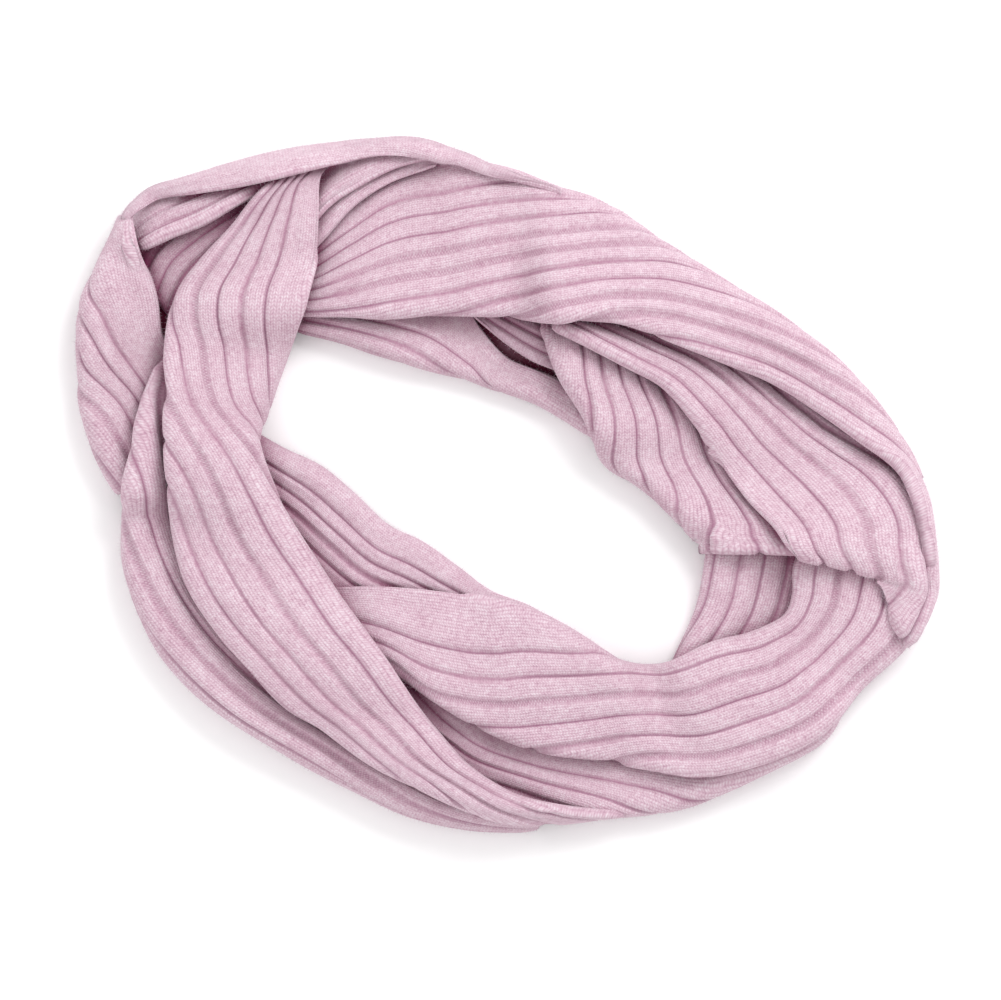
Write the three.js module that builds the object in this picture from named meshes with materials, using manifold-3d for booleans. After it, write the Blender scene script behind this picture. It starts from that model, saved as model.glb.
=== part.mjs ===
// A rib-knit infinity scarf, laid down twice round in a loose twisted ring.
// One closed loop of wide-rib knit with a plain band along each edge. Each stretch of cloth that
// shows is a wall of its own with its ribs raised on the outside, and the layers that nobody sees
// share one rounded ring under them. Millimetres, +Z up, the table at z = 0.

import * as THREE from "three";
import { mergeVertices } from "three/addons/utils/BufferGeometryUtils.js";
import Module from "manifold-3d";

const wasm = await Module();
wasm.setup();

// The knit.
const WALL = 1.5; // cloth in a channel between two ribs
const RIB = 1.2; // how far a rib or the plain band stands above the channel
const PITCH = 10; // one rib and its channel, unstretched
const GROOVE = 0.2; // half of a channel's width, as a share of a rib
const FINE_PITCH = 7; // ribs squeezed closer than this stand lower

// How the cloth lies.
const GAP = 0.5; // air between two layers
const TRIM = 0.33; // what a layer is cut back by where the one above sinks into it
const SLIVER = 0.05; // the finest detail that a cut leaves
const RUN = 9; // cloth that goes on under a small fold
const SMALLEST_TURN = 2; // a radius under this fades out to an open edge
const WIDEST_TURN = 0.36; // of the span, the largest radius that an edge turns with
const WIDEST_TUCK = 0.45; // of the span, how far in the tucked cloth goes at most
const APART = 1.2; // least air between the upper side of a fold and the cloth tucked under it
const SOFTEN = 3; // the height over which two ways that cloth can rest pass into each other
const SHOULDER = 0.7; // how far round a turn, in radians, the wall has an edge before its ribs start
const INNER_SHOULDER = 1.2; // the same on the plain inner side
const WIDEST_INSET = 0.2; // of the span, the farthest in that the line of a turned edge starts
const RIB_INSET = 0.6; // of a rib, what the line of a turned edge leaves for the ribs outside it
const PAIR_ROOM = 1; // air that a doubled edge needs besides its second layer
const PAIR_FADE = 5; // the way over which a doubled edge's height fades into the single cloth
const PAIR_MORE = 3; // how far past the tucked cloth the full height goes
const REST_FADE = 6; // the way from an edge over which the cloth comes to rest on its bed
const EDGE_FREE = 0.6; // of a turn's radius, where that way starts
const CROWN_POWER = 0.8; // below 1, the crown is full to near the edges
const LEAST_RUN = 0.2; // tucked cloth shorter than this isn't drawn
const INNER_PER_RIB = 0.9; // edges of the plain inner side for each rib
const WIDEST_SHOULDER = 0.2; // of the upper side, how far in such an edge is at most
const EDGE_STEP = 0.3; // least way between the wall's edges round a fold
const LEAST_STEP = 0.12; // ribs that a fold hides are gathered this close
const NEAR = 1.5; // edges about this near share one outward direction
const ROW_STEP = 22; // the wall's facets along a rib
const SPREAD = 2; // map cells that a layer under the cloth is widened and smoothed by

// The middle of the footprint in the tables' own frame, which is the origin of the part.
const MIDDLE_X = 3.6;
const MIDDLE_Y = 8;

const YARN = { color: 0xd9bccb, roughness: 0.95, metalness: 0 };
const DEEP_YARN = { color: 0xb995a8, roughness: 1, metalness: 0 };

// A table: its first line names the columns and each further line is one section of the cloth.
function table(text) {
  const [names, ...lines] = text.trim().split("\n");
  const columns = names.trim().split(/\s+/);
  return lines.map((line) => {
    const numbers = line.trim().split(/\s+/).map(Number);
    return Object.fromEntries(columns.map((name, i) => [name, numbers[i]]));
  });
}

// Each row is a section across the cloth. x1, y1 and x2, y2 are its two edges as seen from above.
// r1 and r2 are the radii that the cloth turns under with there, and 0 where it ends in an open edge.
// c1 and c2 count the ribs from the first edge of the cloth to those two places, and bias is above 0
// where the ribs between them crowd to the first edge and below 0 where they crowd to the second.
// rise is the crown between them, and lift is the air under the section.
const STRETCHES = [
  {
    name: "inner_top_stretch", band1: 0, ribs: 4, band2: 2.5,
    rows: table(`
      x1   y1  r1  c1    x2   y2  r2   c2  bias rise lift
    -104   84   5 1.8   -96  104   0  6.5     0    0    0
     -81   79   6 1.8   -68  104   0  6.5     0    0    0
     -61   72   6 1.8   -42  103   0  6.5     0    0    0
     -42   66   6 2.2   -20   99   0  6.5     0    0    0
     -18   60   5 3.0   -10   86   0  6.5     0    0    0
      -4   55   4 3.8     3   71   0  6.5     0    1    0
      15   49   4 4.4    15   57   0  6.5     0    1    0
      32   40   4 4.6    33   47   0  6.5     0    0    0
      48   30   3 4.8    50   38   0  6.5     0    0    0`),
  },
  {
    name: "deep_top_stretch", band1: 0, ribs: 4, band2: 0,
    rows: table(`
      x1   y1  r1  c1    x2   y2  r2   c2  bias rise lift
     -14   84   0   0   -12  102   0    4     0    0    1
       2   74   0   0    10   98   0    4     0    0    2
      16   69   0   0    24   92   0    4     0    1    3
      30   63   0   0    38   84   0    4     0    1    3
      46   52   0   0    56   72   0    4     0    0    1`),
  },
  {
    name: "inner_lower_stretch", band1: 2.2, ribs: 4, band2: 0,
    rows: table(`
      x1   y1  r1  c1    x2   y2  r2   c2  bias rise lift
    -125   35   4 0.5  -134    6   0  6.2     0    0    0
    -109   26   5 0.5  -120   -8   0  6.2     0    0    0
     -90   17   5 0.4  -106  -22   0  6.2     0    0    0
     -74    4   5 0.4   -92  -36   0  6.2     0    0    0
     -57  -12   4 0.4   -74  -50   0  6.2     0    0    0
     -40  -21   4 0.4   -54  -58   0  6.2     0    0    0
     -22  -34   4 0.4   -34  -64   0  6.2     0    0    0
      -5  -46   4 0.5   -14  -68   0  6.2     0    0    0
      16  -54   4 0.8     8  -76   0  6.2     0    0    0
      38  -68   3 1.2    34  -86   0  6.2     0    0    0
      58  -80   3 1.6    56  -94   0  6.2     0    0    0`),
  },
  {
    name: "upper_left_lining", band1: 0, ribs: 4, band2: 0,
    rows: table(`
      x1   y1  r1  c1    x2   y2  r2   c2  bias rise lift
    -184  116   0   0  -160   84   0    4     0    0    0
    -176  130   0   0  -152  104   0    4     0    0    1
    -160  141   0   0  -140  118   0    4     0    0    1
    -140  150   0   0  -122  134   0    4     0    0    1
    -118  160   0   0  -104  146   0    4     0    0    0`),
  },
  {
    name: "upper_left_turn", band1: 1.6, ribs: 2, band2: 0,
    rows: table(`
      x1   y1  r1  c1    x2   y2  r2   c2  bias rise lift
    -186  138   0   0  -178  123   2  3.2     0    0    3
    -172  150   0   0  -164  130   2  3.2     0    1    3
    -154  156   0   0  -147  137   2  3.2     0    1    3
    -134  160   0   0  -129  147   2  3.2     0    0    3
    -116  165   0   0  -113  155   2  3.2     0    0    1`),
  },
  {
    name: "outer_left_stretch", band1: 0, ribs: 6, band2: 2.6,
    rows: table(`
      x1   y1  r1  c1    x2   y2  r2   c2  bias rise lift
    -189  141   5 7.0  -183  143   0  8.6     0    0    5
    -196  127   7 6.5  -178  122   0  8.6     0    1    5
    -203  112   8 6.0  -173  110   0  8.6     0    1    5
    -208   99   8 5.3  -170   99   0  8.6     0    1    4
    -211   80   8 3.8  -168   83   0  8.6   0.1    1    2
    -211   62   8 3.2  -162   70   0  8.6  -0.2    1    0
    -209   44   8 2.4  -158   54   0  8.6  -0.6    0    0
    -203   24   8 1.9  -154   38   0  8.6  -0.7    0    0
    -192    2   7 1.6  -148   20   0  8.6  -0.7    0    0`),
  },
  {
    name: "outer_lower_stretch", band1: 2, ribs: 4, band2: 0,
    rows: table(`
      x1   y1  r1  c1    x2   y2  r2   c2  bias rise lift
     -60  -56   0   0   -76  -76   0    6  -0.4    0    0
     -42  -76   0   0   -60 -100   0    6  -0.4    1    0
     -24  -94   0   0   -44 -124   0    6  -0.3    2    0
      -4 -108   0   0   -24 -142   3  5.6  -0.2    2    0
      18 -118   0   0    10 -152   5  5.2     0    2    0
      42 -121   0   0    38 -159   7  4.9     0    1    0
      70 -121   0   0    70 -157   8  3.4     0    0    0
     100 -120   0   0   100 -151   8  2.2     0    0    0
     124 -116   0   0   132 -136   8  1.8     0    0    0
     146 -104   0   0   160 -121   6  1.6     0    0    0
     156  -92   0   0   170 -106   5  1.6     0    0    0`),
  },
  {
    name: "inner_right_stretch", band1: 0, ribs: 5, band2: 0,
    rows: table(`
      x1   y1  r1  c1    x2   y2  r2   c2  bias rise lift
     104  -16   4 0.6   152  -16   0    5     0    0    0
     101  -37   5 0.6   142  -38   0    5     0    0    0
      98  -52   5 0.7   136  -56   0    5     0   -1    0
      90  -68   5 0.9   128  -74   0    5     0    0    0
      78  -78   4 1.0   120  -88   0    5     0    0    0`),
  },
  {
    name: "lower_right_stretch", band1: 2, ribs: 8, band2: 0,
    rows: table(`
      x1   y1  r1  c1    x2   y2  r2   c2  bias rise lift
     -92  -44   0   0   -76  -76   2  4.4     0    0    0
     -68  -43   0   0   -54  -85   2  4.4  -0.1    1    0
     -44  -44   0   0   -32 -100   2  4.3  -0.1    2    0
     -20  -47   0   0    -6 -115   2  5.2  -0.2    3    0
       5  -51   3 0.2    20 -125   2  6.1  -0.1    3    0
      30  -62   5 0.6    50 -129   2  6.8     0    3    0
      55  -78   6 2.0    75 -133   2  7.6     0    3    0
      78  -82   6 2.3   103 -137   2  7.9     0    3    0
     104  -71   4 2.3   134 -130   3  8.0     0    3    0
     124  -65   2 2.2   160 -116   5  8.0     0    3    0
     135  -56   0   0   182  -92   8  8.0   0.1    2    0
     135  -43   0   0   202  -72   8  7.8   0.1    1    0
     148  -27   0   0   212  -52   8  7.8   0.1    0    0
     166  -12   0   0   212  -28   8  7.8   0.1    0    0`),
  },
  {
    name: "right_inner_stretch", band1: 2, ribs: 6, band2: 0, endFold: 2,
    rows: table(`
      x1   y1  r1  c1    x2   y2  r2   c2  bias rise lift
      20   92   0   0    64   88   0    8  -0.3    0    0
      23   76   2 0.2    82   72   0    8  -0.2    1    1
      29   61   4 0.7    96   56   0    8     0    2    1
      41   42   6 1.5   106   40   0    8     0    2    1
      51   20   7 2.4   114   22   0    8     0    2    1
      70    7   7 3.6   124    5   0    8     0    2    1
      86   -8   6 4.8   138  -10   0    8     0    2    5
     100  -22   0 5.7   152  -24   0    8     0    1    7`),
  },
  {
    name: "right_stretch", band1: 0, ribs: 7, band2: 0, endFold: 2,
    rows: table(`
      x1   y1  r1  c1    x2   y2  r2   c2  bias rise lift
      24   85   2 0.3    36   98   0    7  -0.4    0    0
      41   77   3 0.4    60   96   0    7  -0.4    1    0
      62   66   3 0.4    90   87   0    7  -0.4    2    0
      80   56   3 0.4   122   75   0    7  -0.4    2    0
      96   38   2 0.3   160   52   0    7  -0.2    2    0
     110   17   0   0   184   28   3  5.6     0    2    1
     122    0   0   0   203   12   6  5.4     0    2    1
     134  -13   0   0   214  -10   8  5.4     0    2    4
     145  -26   0   0   218  -42   0  5.7     0    1    6`),
  },
  {
    name: "upper_stretch", band1: 2, ribs: 10, band2: 0,
    rows: table(`
      x1   y1  r1  c1    x2   y2  r2   c2  bias rise lift
    -108  116   0   0  -104   92   2  7.2     0    0    0
     -94  132   0   0   -89   91   3  7.4  -0.1    1    0
     -75  149   0   0   -72   91   4  7.5     0    2    0
     -52  167   0   0   -52   90   5  7.8     0    3    0
     -27  171   2 0.2   -22   91   5  8.2     0    3    0
       0  166   5 0.9     5   90   5  9.0     0    3    0
      26  156   7 1.8    30   87   5  9.8     0    3    0
      52  147   9 2.8    58   87   4 10.4     0    3    0
      78  130   9 5.0    85   78   3 11.2     0    3    0
     106  112   9 6.5   111   68   3 11.5     0    2    0
     137   93   9 7.5   135   58   3 11.7     0    1    0
     164   73   9 8.4   157   44   3 11.8     0    0    0
     186   50   8 9.3   179   28   3 11.8     0    0    0
     203   26   6 10.2  195   15   2 11.8     0    0    0`),
  },
  {
    name: "upper_roll", band1: 2, ribs: 0, band2: 0,
    rows: table(`
      x1   y1  r1  c1    x2   y2  r2   c2  bias rise lift
    -100  134   0   0   -97  119   0    2     0    1    0
     -86  148   0   0   -87  130   0    2     0    2    0
     -71  160   0   0   -74  145   0    2     0    3    0
     -52  169   0   0   -55  158   0    2     0    2    0
     -31  173   0   0   -32  166   0    2     0    1    0`),
  },
  {
    name: "upper_fold", band1: 2.6, ribs: 0, band2: 0,
    rows: table(`
      x1   y1  r1  c1    x2   y2  r2   c2  bias rise lift
    -100  156   0   0   -97  130   0  2.6     0    2    0
     -87  167   0   0   -85  145   0  2.6     0    3    0
     -70  174   0   0   -71  155   0  2.6     0    4    0
     -50  177   0   0   -52  165   0  2.6     0    3    0
     -29  175   0   0   -32  169   0  2.6     0    1    0`),
  },
  {
    name: "outer_fold_stretch", band1: 0, ribs: 7, band2: 0,
    rows: table(`
      x1   y1  r1  c1    x2   y2  r2   c2  bias rise lift
    -170   72   2 5.8  -156   70   0    7     0    0    0
    -178   46   4 5.6  -154   44   0    7     0    0    0
    -186   12   6 4.5  -152   12   0    7     0    1    0
    -188  -12   8 3.7  -150  -12   0    7     0    1    0
    -187  -34   9 3.1  -144  -30   0    7     0    1    0
    -180  -56   9 2.8  -132  -50   0    7     0    2    0
    -166  -80   9 2.4  -116  -70   0    7     0    2    0
    -140 -106   9 2.2   -94  -90   0    7     0    2    0
    -104 -128   9 2.2   -70 -108   0    7     0    1    0
     -75 -143   9 2.4   -48 -122   0    7     0    1    0
     -45 -157   9 2.6   -26 -134   0    7     0    1    0
     -15 -164   8 2.8    -2 -146   0    7     0    0    0
      18 -165   7 3.0    24 -153   0    7     0    0    0`),
  },
  {
    name: "left_stretch", band1: 0, ribs: 9, band2: 1.7,
    rows: table(`
      x1   y1  r1  c1    x2   y2  r2   c2  bias rise lift
    -101  166   2 5.3   -80  170   0 10.7     0    0    0
    -119  152   2 5.3   -89  161   0 10.7   0.2    1    0
    -134  134   3 5.2   -90  143   0 10.7   0.1    2    0
    -150  117   3 5.1   -91  124   0 10.7     0    3    0
    -162  100   3 5.0   -94  102   2 10.7     0    3    0
    -166   75   3 4.4  -105   74   4 10.2     0    3    0
    -166   50   3 3.9  -114   48   7  9.2     0    3    0
    -166   25   3 2.8  -119   27   8  6.8     0    3    0
    -164    0   3 1.7  -109    0   7  6.0   0.3    3    0
    -161  -22   3 1.4   -96  -22   6  5.9   0.3    3    0
    -155  -43   3 1.2   -82  -44   4  5.8   0.2    3    0
    -143  -62   3 1.1   -69  -62   3  5.8   0.2    3    0
    -129  -79   3 1.0   -56  -80   3  5.7   0.2    3    0
    -109 -100   3 0.9   -42 -101   3  5.7   0.2    3    0
     -90 -112   3 1.0   -31 -116   3  5.7   0.2    3    0
     -69 -127   3 1.3   -18 -131   3  5.7   0.2    2    0
     -48 -138   3 1.9    -2 -142   3  5.7   0.1    2    0
     -27 -148   3 2.6    13 -149   3  5.6   0.1    1    0
      -2 -157   3 3.3    38 -154   2  5.6     0    0    0
      28 -162   2 4.0    68 -156   2  5.6     0    0    0`),
  },
  {
    name: "outer_top_band", band1: 2.4, ribs: 0, band2: 0,
    rows: table(`
      x1   y1  r1  c1    x2   y2  r2   c2  bias rise lift
    -186  143   0   0  -181  143   0  2.4     0    1    2
    -174  154   0   0  -168  150   0  2.4     0    1    3
    -155  159   0   0  -151  152   0  2.4     0    2    3
    -134  165   0   0  -130  155   0  2.4     0    3    3
    -112  171   0   0  -109  159   0  2.4     0    4    3
     -88  176   0   0   -84  166   0  2.4     0    4    2
     -62 179.4  0   0   -60  171   0  2.4     0    4    2
     -40 179.4  0   0   -42  171   0  2.4     0    4    2
     -20  175   0   0   -25  167   0  2.4     0    3    2
      -2  168   0   0    -8  160   0  2.4     0    3    1
      20  161   0   0    16  153   0  2.4     0    2    0
      44  152   0   0    41  147   0  2.4     0    1    0`),
  },
];

// The layers that nobody sees: a rounded ring with a flat underside, by the places of its inner and
// outer side and its height.
const HIDDEN_LAYERS = table(`
    xi   yi   xo   yo height
   124  -36  194  -48    8
   116  -62  166  -84    8
    98  -88  132 -112    8
    70  -98   90 -134    8
    44  -92   50 -143    9
    20  -76   14 -145   10
    -6  -62  -26 -142   10
   -34  -44  -60 -130   10
   -56  -30  -92 -112   10
   -78  -16 -126  -88   10
   -98    2 -156  -60   10
  -126   16 -170  -26    9
  -138   36 -174    8    8
  -136   52 -190   44    8
  -128   74 -190   82    8
  -112   98 -180  116    8
   -94  110 -150  140    8
   -76  106 -112  152    9
   -46   98  -74  160    9
   -20   84  -34  158    9
     4   66    6  142    9
    32   52   44  130    9
    58   44   80  108    9
    78   28  122   80    9
    92   12  160   48    9
   106   -6  186   14    9
   118  -20  196  -16    8`);

const COLUMNS = ["x1", "y1", "r1", "c1", "x2", "y2", "r2", "c2", "bias", "rise", "lift"];

// A smooth curve through four values in a row, at t from 0 to 1 between the middle two.
function through(a, b, c, d, t) {
  const square = t * t;
  const cube = square * t;
  const bend = (2 * a - 5 * b + 4 * c - d) * square + (3 * b - a - 3 * c + d) * cube;
  return 0.5 * (2 * b + (c - a) * t + bend);
}

// The row of a table at a share of the way along it.
function rowAt(rows, share, columns, closed = false) {
  const last = rows.length - (closed ? 0 : 1);
  const place = share * last;
  const first = closed ? Math.floor(place) : Math.min(Math.floor(place), last - 1);
  const pick = (i) => rows[closed ? (i + rows.length) % rows.length : THREE.MathUtils.clamp(i, 0, last)];
  const row = {};
  for (const name of columns) {
    const values = [-1, 0, 1, 2].map((k) => pick(first + k)[name]);
    row[name] = through(...values, place - first);
  }
  return row;
}

// The height of what already lies on the table, cell by cell.
const CELL = 2;
const REACH_X = 240;
const REACH_Y = 200;
const CELLS_X = (2 * REACH_X) / CELL;
const CELLS_Y = (2 * REACH_Y) / CELL;
const top = new Float32Array(CELLS_X * CELLS_Y);
let bed = top.slice();
let soft = top.slice();

function cellOf(x, y) {
  const i = THREE.MathUtils.clamp(Math.floor((x + REACH_X) / CELL), 0, CELLS_X - 1);
  const j = THREE.MathUtils.clamp(Math.floor((y + REACH_Y) / CELL), 0, CELLS_Y - 1);
  return j * CELLS_X + i;
}

function heightOf(map, x, y) {
  const a = THREE.MathUtils.clamp((x + REACH_X) / CELL - 0.5, 0, CELLS_X - 2);
  const b = THREE.MathUtils.clamp((y + REACH_Y) / CELL - 0.5, 0, CELLS_Y - 2);
  const i = Math.floor(a);
  const j = Math.floor(b);
  const k = j * CELLS_X + i;
  const near = THREE.MathUtils.lerp(map[k], map[k + 1], a - i);
  const far = THREE.MathUtils.lerp(map[k + CELLS_X], map[k + CELLS_X + 1], a - i);
  return THREE.MathUtils.lerp(near, far, b - j);
}

// One pass of a filter along the rows or columns of the map.
function filtered(map, stepX, stepY, join) {
  const out = new Float32Array(map.length);
  for (let j = 0; j < CELLS_Y; j++)
    for (let i = 0; i < CELLS_X; i++) {
      const window = [];
      for (let k = -SPREAD; k <= SPREAD; k++) {
        const a = THREE.MathUtils.clamp(i + k * stepX, 0, CELLS_X - 1);
        const b = THREE.MathUtils.clamp(j + k * stepY, 0, CELLS_Y - 1);
        window.push(map[b * CELLS_X + a]);
      }
      out[j * CELLS_X + i] = join(window);
    }
  return out;
}

// What the next layer lies on. The bed is everything under it, widened and then smoothed as cloth
// would, and an open edge comes down to the same heights smoothed alone.
function makeBed() {
  const highest = (list) => Math.max(...list);
  const mean = (list) => list.reduce((a, b) => a + b, 0) / list.length;
  const wide = filtered(filtered(top, 1, 0, highest), 0, 1, highest);
  bed = filtered(filtered(wide, 1, 0, mean), 0, 1, mean);
  soft = filtered(filtered(top, 1, 0, mean), 0, 1, mean);
}

// The higher of two heights, passing smoothly from one to the other.
function higher(a, b) {
  return 0.5 * (a + b + Math.sqrt((a - b) * (a - b) + SOFTEN * SOFTEN));
}

// The line of one section, from the middle of its upper side down round each edge. It holds the place
// and the rib count of points close together.
const SIDE_STEPS = 8;
const TOP_STEPS = 28;

function sectionOf(stretch, share) {
  const row = rowAt(stretch.rows, share, COLUMNS);
  const total = stretch.band1 + stretch.ribs + stretch.band2;
  const edge1 = new THREE.Vector2(row.x1, row.y1);
  const edge2 = new THREE.Vector2(row.x2, row.y2);
  const across = edge2.clone().sub(edge1);
  const span = across.length();
  across.normalize();
  const sides = [
    { at: edge1, inward: across, r: row.r1, cloth: row.c1 },
    { at: edge2, inward: across.clone().negate(), r: row.r2, cloth: total - row.c2 },
  ];
  for (const side of sides) {
    side.r = THREE.MathUtils.clamp(side.r, 0, WIDEST_TURN * span);
    const turned = THREE.MathUtils.smoothstep(side.r, 0, SMALLEST_TURN);
    side.cloth = Math.max(0, side.cloth);
    side.inset = turned * Math.min(WALL + RIB_INSET * RIB, WIDEST_INSET * span);
    const under = heightOf(bed, side.at.x, side.at.y);
    side.floor = under + GAP + turned * (WALL + RIB);
    side.middle = side.floor + side.r + row.lift;
    const quarter = side.r * (Math.PI / 2);
    const room = Math.min(RUN, WIDEST_TUCK * span - side.inset);
    const straight = Math.max(0, room - side.r);
    side.run = turned * Math.min(quarter + straight, side.cloth * PITCH);
    side.reach = side.inset + Math.min(side.run, side.r + Math.max(0, side.run - quarter)) + PAIR_MORE;
    side.double = turned * (side.run > PAIR_ROOM ? WALL + RIB + PAIR_ROOM : 0);
  }
  const points = [];
  const [one, two] = sides;
  // Cloth turned under at an edge, from its end to the silhouette.
  const turn = (side, topAt) => {
    const line = [];
    for (let k = SIDE_STEPS; k > 0; k--) {
      const way = (side.run * k) / SIDE_STEPS;
      const bend = side.r > 0 ? Math.min(way / side.r, Math.PI / 2) : 0;
      const straight = Math.max(0, way - side.r * (Math.PI / 2));
      const inward = side.inset + side.r * (1 - Math.cos(bend)) + straight;
      const place = side.at.clone().addScaledVector(side.inward, inward);
      const low = side.middle - side.r * Math.sin(bend);
      const clear = heightOf(bed, place.x, place.y) + GAP + WALL + RIB;
      const open = Math.min(APART, 2 * side.r * Math.sin(bend));
      const z = Math.min(Math.max(low, clear), topAt(inward - side.inset) - open);
      line.push({ x: place.x, y: place.y, z });
    }
    return line;
  };
  // The upper side, with its points closer together where it turns down.
  const width = span - one.inset - two.inset;
  const upper = [];
  for (let k = 0; k <= TOP_STEPS; k++) {
    const q = 0.5 - 0.5 * Math.cos((Math.PI * k) / TOP_STEPS);
    const w = q * width;
    const place = edge1.clone().addScaledVector(across, one.inset + w);
    const round = (r, d) => (d < r ? Math.sqrt(Math.max(0, r * r - (r - d) * (r - d))) : r);
    const shift = THREE.MathUtils.smoothstep(q, 0, 1);
    const shoulder = THREE.MathUtils.lerp(round(one.r, w), round(two.r, width - w), shift);
    const crown = row.rise * Math.pow(Math.sin(Math.PI * q), CROWN_POWER);
    const line = THREE.MathUtils.lerp(one.middle, two.middle, q) + shoulder + crown;
    const rest = heightOf(bed, place.x, place.y) + GAP + row.lift;
    const fromEdge = Math.min(w - one.r * EDGE_FREE, width - w - two.r * EDGE_FREE);
    const inside = THREE.MathUtils.smoothstep(fromEdge, 0, REST_FADE);
    const firm = heightOf(soft, place.x, place.y) + GAP;
    const pairAt = (side, d) =>
      side.double * (1 - THREE.MathUtils.smoothstep(d, side.reach, side.reach + PAIR_FADE));
    const pair = Math.max(pairAt(one, w), pairAt(two, width - w));
    const least = THREE.MathUtils.lerp(firm, rest, inside) + pair * Math.min(1, inside * 3);
    upper.push({ x: place.x, y: place.y, z: higher(line, least), w });
  }
  // The height of the upper side at a distance in from an edge.
  const upperAt = (list, wayOf) => (d) => {
    let k = 1;
    while (k < list.length - 1 && wayOf(list[k]) < d) k++;
    const t = (d - wayOf(list[k - 1])) / Math.max(LEAST_RUN, wayOf(list[k]) - wayOf(list[k - 1]));
    return THREE.MathUtils.lerp(list[k - 1].z, list[k].z, THREE.MathUtils.clamp(t, 0, 1));
  };
  const fromOne = upperAt(upper, (point) => point.w);
  const fromTwo = upperAt([...upper].reverse(), (point) => width - point.w);
  const first = one.run > LEAST_RUN ? turn(one, fromOne) : [];
  const second = two.run > LEAST_RUN ? turn(two, fromTwo).reverse() : [];
  points.push(...first, ...upper, ...second);
  let length = 0;
  points.forEach((point, k) => {
    const before = points[Math.max(0, k - 1)];
    length += Math.hypot(point.x - before.x, point.y - before.y, point.z - before.z);
    point.way = length;
  });
  const near = points[first.length].way;
  const far = points[first.length + upper.length - 1].way;
  for (const point of upper) {
    const share = (point.way - near) / (far - near);
    point.c = THREE.MathUtils.lerp(one.cloth, total - two.cloth, share + row.bias * share * (1 - share));
  }
  return { points, upper, near, far, length, radii: [one.r, two.r] };
}

// The value of one measure of a line's points where another has a given value.
function readOff(points, known, value, wanted) {
  let k = 1;
  while (k < points.length - 1 && points[k][known] < value) k++;
  const a = points[k - 1];
  const b = points[k];
  const t = THREE.MathUtils.clamp((value - a[known]) / Math.max(1e-6, b[known] - a[known]), 0, 1);
  return THREE.MathUtils.lerp(a[wanted], b[wanted], t);
}

// How far along a section each column of the wall lies. What a fold hides is gathered at the fold.
function waysOf(section, columns) {
  const { near, far, length, upper, radii } = section;
  const widest = WIDEST_SHOULDER * (far - near);
  const placeOf = {
    "first fold": (at) => near * at,
    "first shoulder": (at) => near + Math.min(at * radii[0], widest),
    "plain side": (at) => near + (far - near) * at,
    ribs: (at) => readOff(upper, "c", at, "way"),
    "second shoulder": (at) => far - Math.min(at * radii[1], widest),
    "second fold": (at) => far + (length - far) * at,
  };
  const ways = columns.map(({ part, at }) => placeOf[part](at));
  const from = columns.findLastIndex(({ part }) => part.startsWith("first"));
  const to = columns.findIndex(({ part }) => part.startsWith("second"));
  for (let k = 1; k <= from; k++) ways[k] = Math.max(ways[k], ways[k - 1] + EDGE_STEP);
  for (let k = ways.length - 2; k >= to; k--) ways[k] = Math.min(ways[k], ways[k + 1] - EDGE_STEP);
  const step = Math.min(LEAST_STEP, (ways[to] - ways[from]) / (2 * (to - from)));
  for (let k = from + 1; k < to; k++) {
    ways[k] = THREE.MathUtils.clamp(ways[k], ways[from] + (k - from) * step, ways[to] - (to - k) * step);
  }
  return ways;
}

const placeAt = (section, way) =>
  new THREE.Vector3(...["x", "y", "z"].map((axis) => readOff(section.points, "way", way, axis)));

// The columns where the outer side has an edge: three for each channel, one for each rib of plain
// band and a few for each fold. Ribs that show nowhere on the stretch have none.
const FOLD_COLUMNS = [0, 0.4, 0.75];

function outerColumns(stretch, sections) {
  const total = stretch.band1 + stretch.ribs + stretch.band2;
  const least = Math.min(...sections.map(({ upper }) => upper[0].c));
  const most = Math.max(...sections.map(({ upper }) => upper.at(-1).c));
  const columns = [];
  const plain = (from, to) => {
    const steps = Math.ceil(to - from);
    for (let k = 1; k < steps; k++) columns.push({ at: from + ((to - from) * k) / steps, high: 1 });
  };
  plain(0, stretch.band1 - GROOVE);
  const lastChannel = stretch.ribs - (stretch.band2 > 0 ? 0 : 1);
  for (let k = stretch.band1 > 0 ? 0 : 1; k <= lastChannel && stretch.ribs > 0; k++) {
    const at = stretch.band1 + k;
    columns.push({ at: at - GROOVE, high: 1 }, { at, high: 0 }, { at: at + GROOVE, high: 1 });
  }
  plain(total - stretch.band2 + GROOVE, total);
  const shown = columns.filter(({ at }) => at > least + GROOVE / 2 && at < most - GROOVE / 2);
  return [
    ...FOLD_COLUMNS.map((at) => ({ part: "first fold", at, high: 0 })),
    ...[0, SHOULDER].map((at) => ({ part: "first shoulder", at, high: 1 })),
    ...shown.map((column) => ({ part: "ribs", ...column })),
    ...[SHOULDER, 0].map((at) => ({ part: "second shoulder", at, high: 1 })),
    ...FOLD_COLUMNS.map((at) => ({ part: "second fold", at: 1 - at, high: 0 })).reverse(),
  ];
}

function innerColumns(stretch, sections) {
  const widest = Math.max(...sections.map(({ near, far }) => far - near));
  const steps = Math.max(2, Math.round((widest / PITCH) * INNER_PER_RIB));
  return [
    { part: "first fold", at: 0 },
    { part: "first fold", at: 0.5 },
    { part: "first shoulder", at: 0 },
    { part: "first shoulder", at: INNER_SHOULDER },
    ...Array.from({ length: steps - 1 }, (_, k) => ({ part: "plain side", at: (k + 1) / steps })),
    { part: "second shoulder", at: INNER_SHOULDER },
    { part: "second shoulder", at: 0 },
    { part: "second fold", at: 0.5 },
    { part: "second fold", at: 1 },
  ];
}

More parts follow.
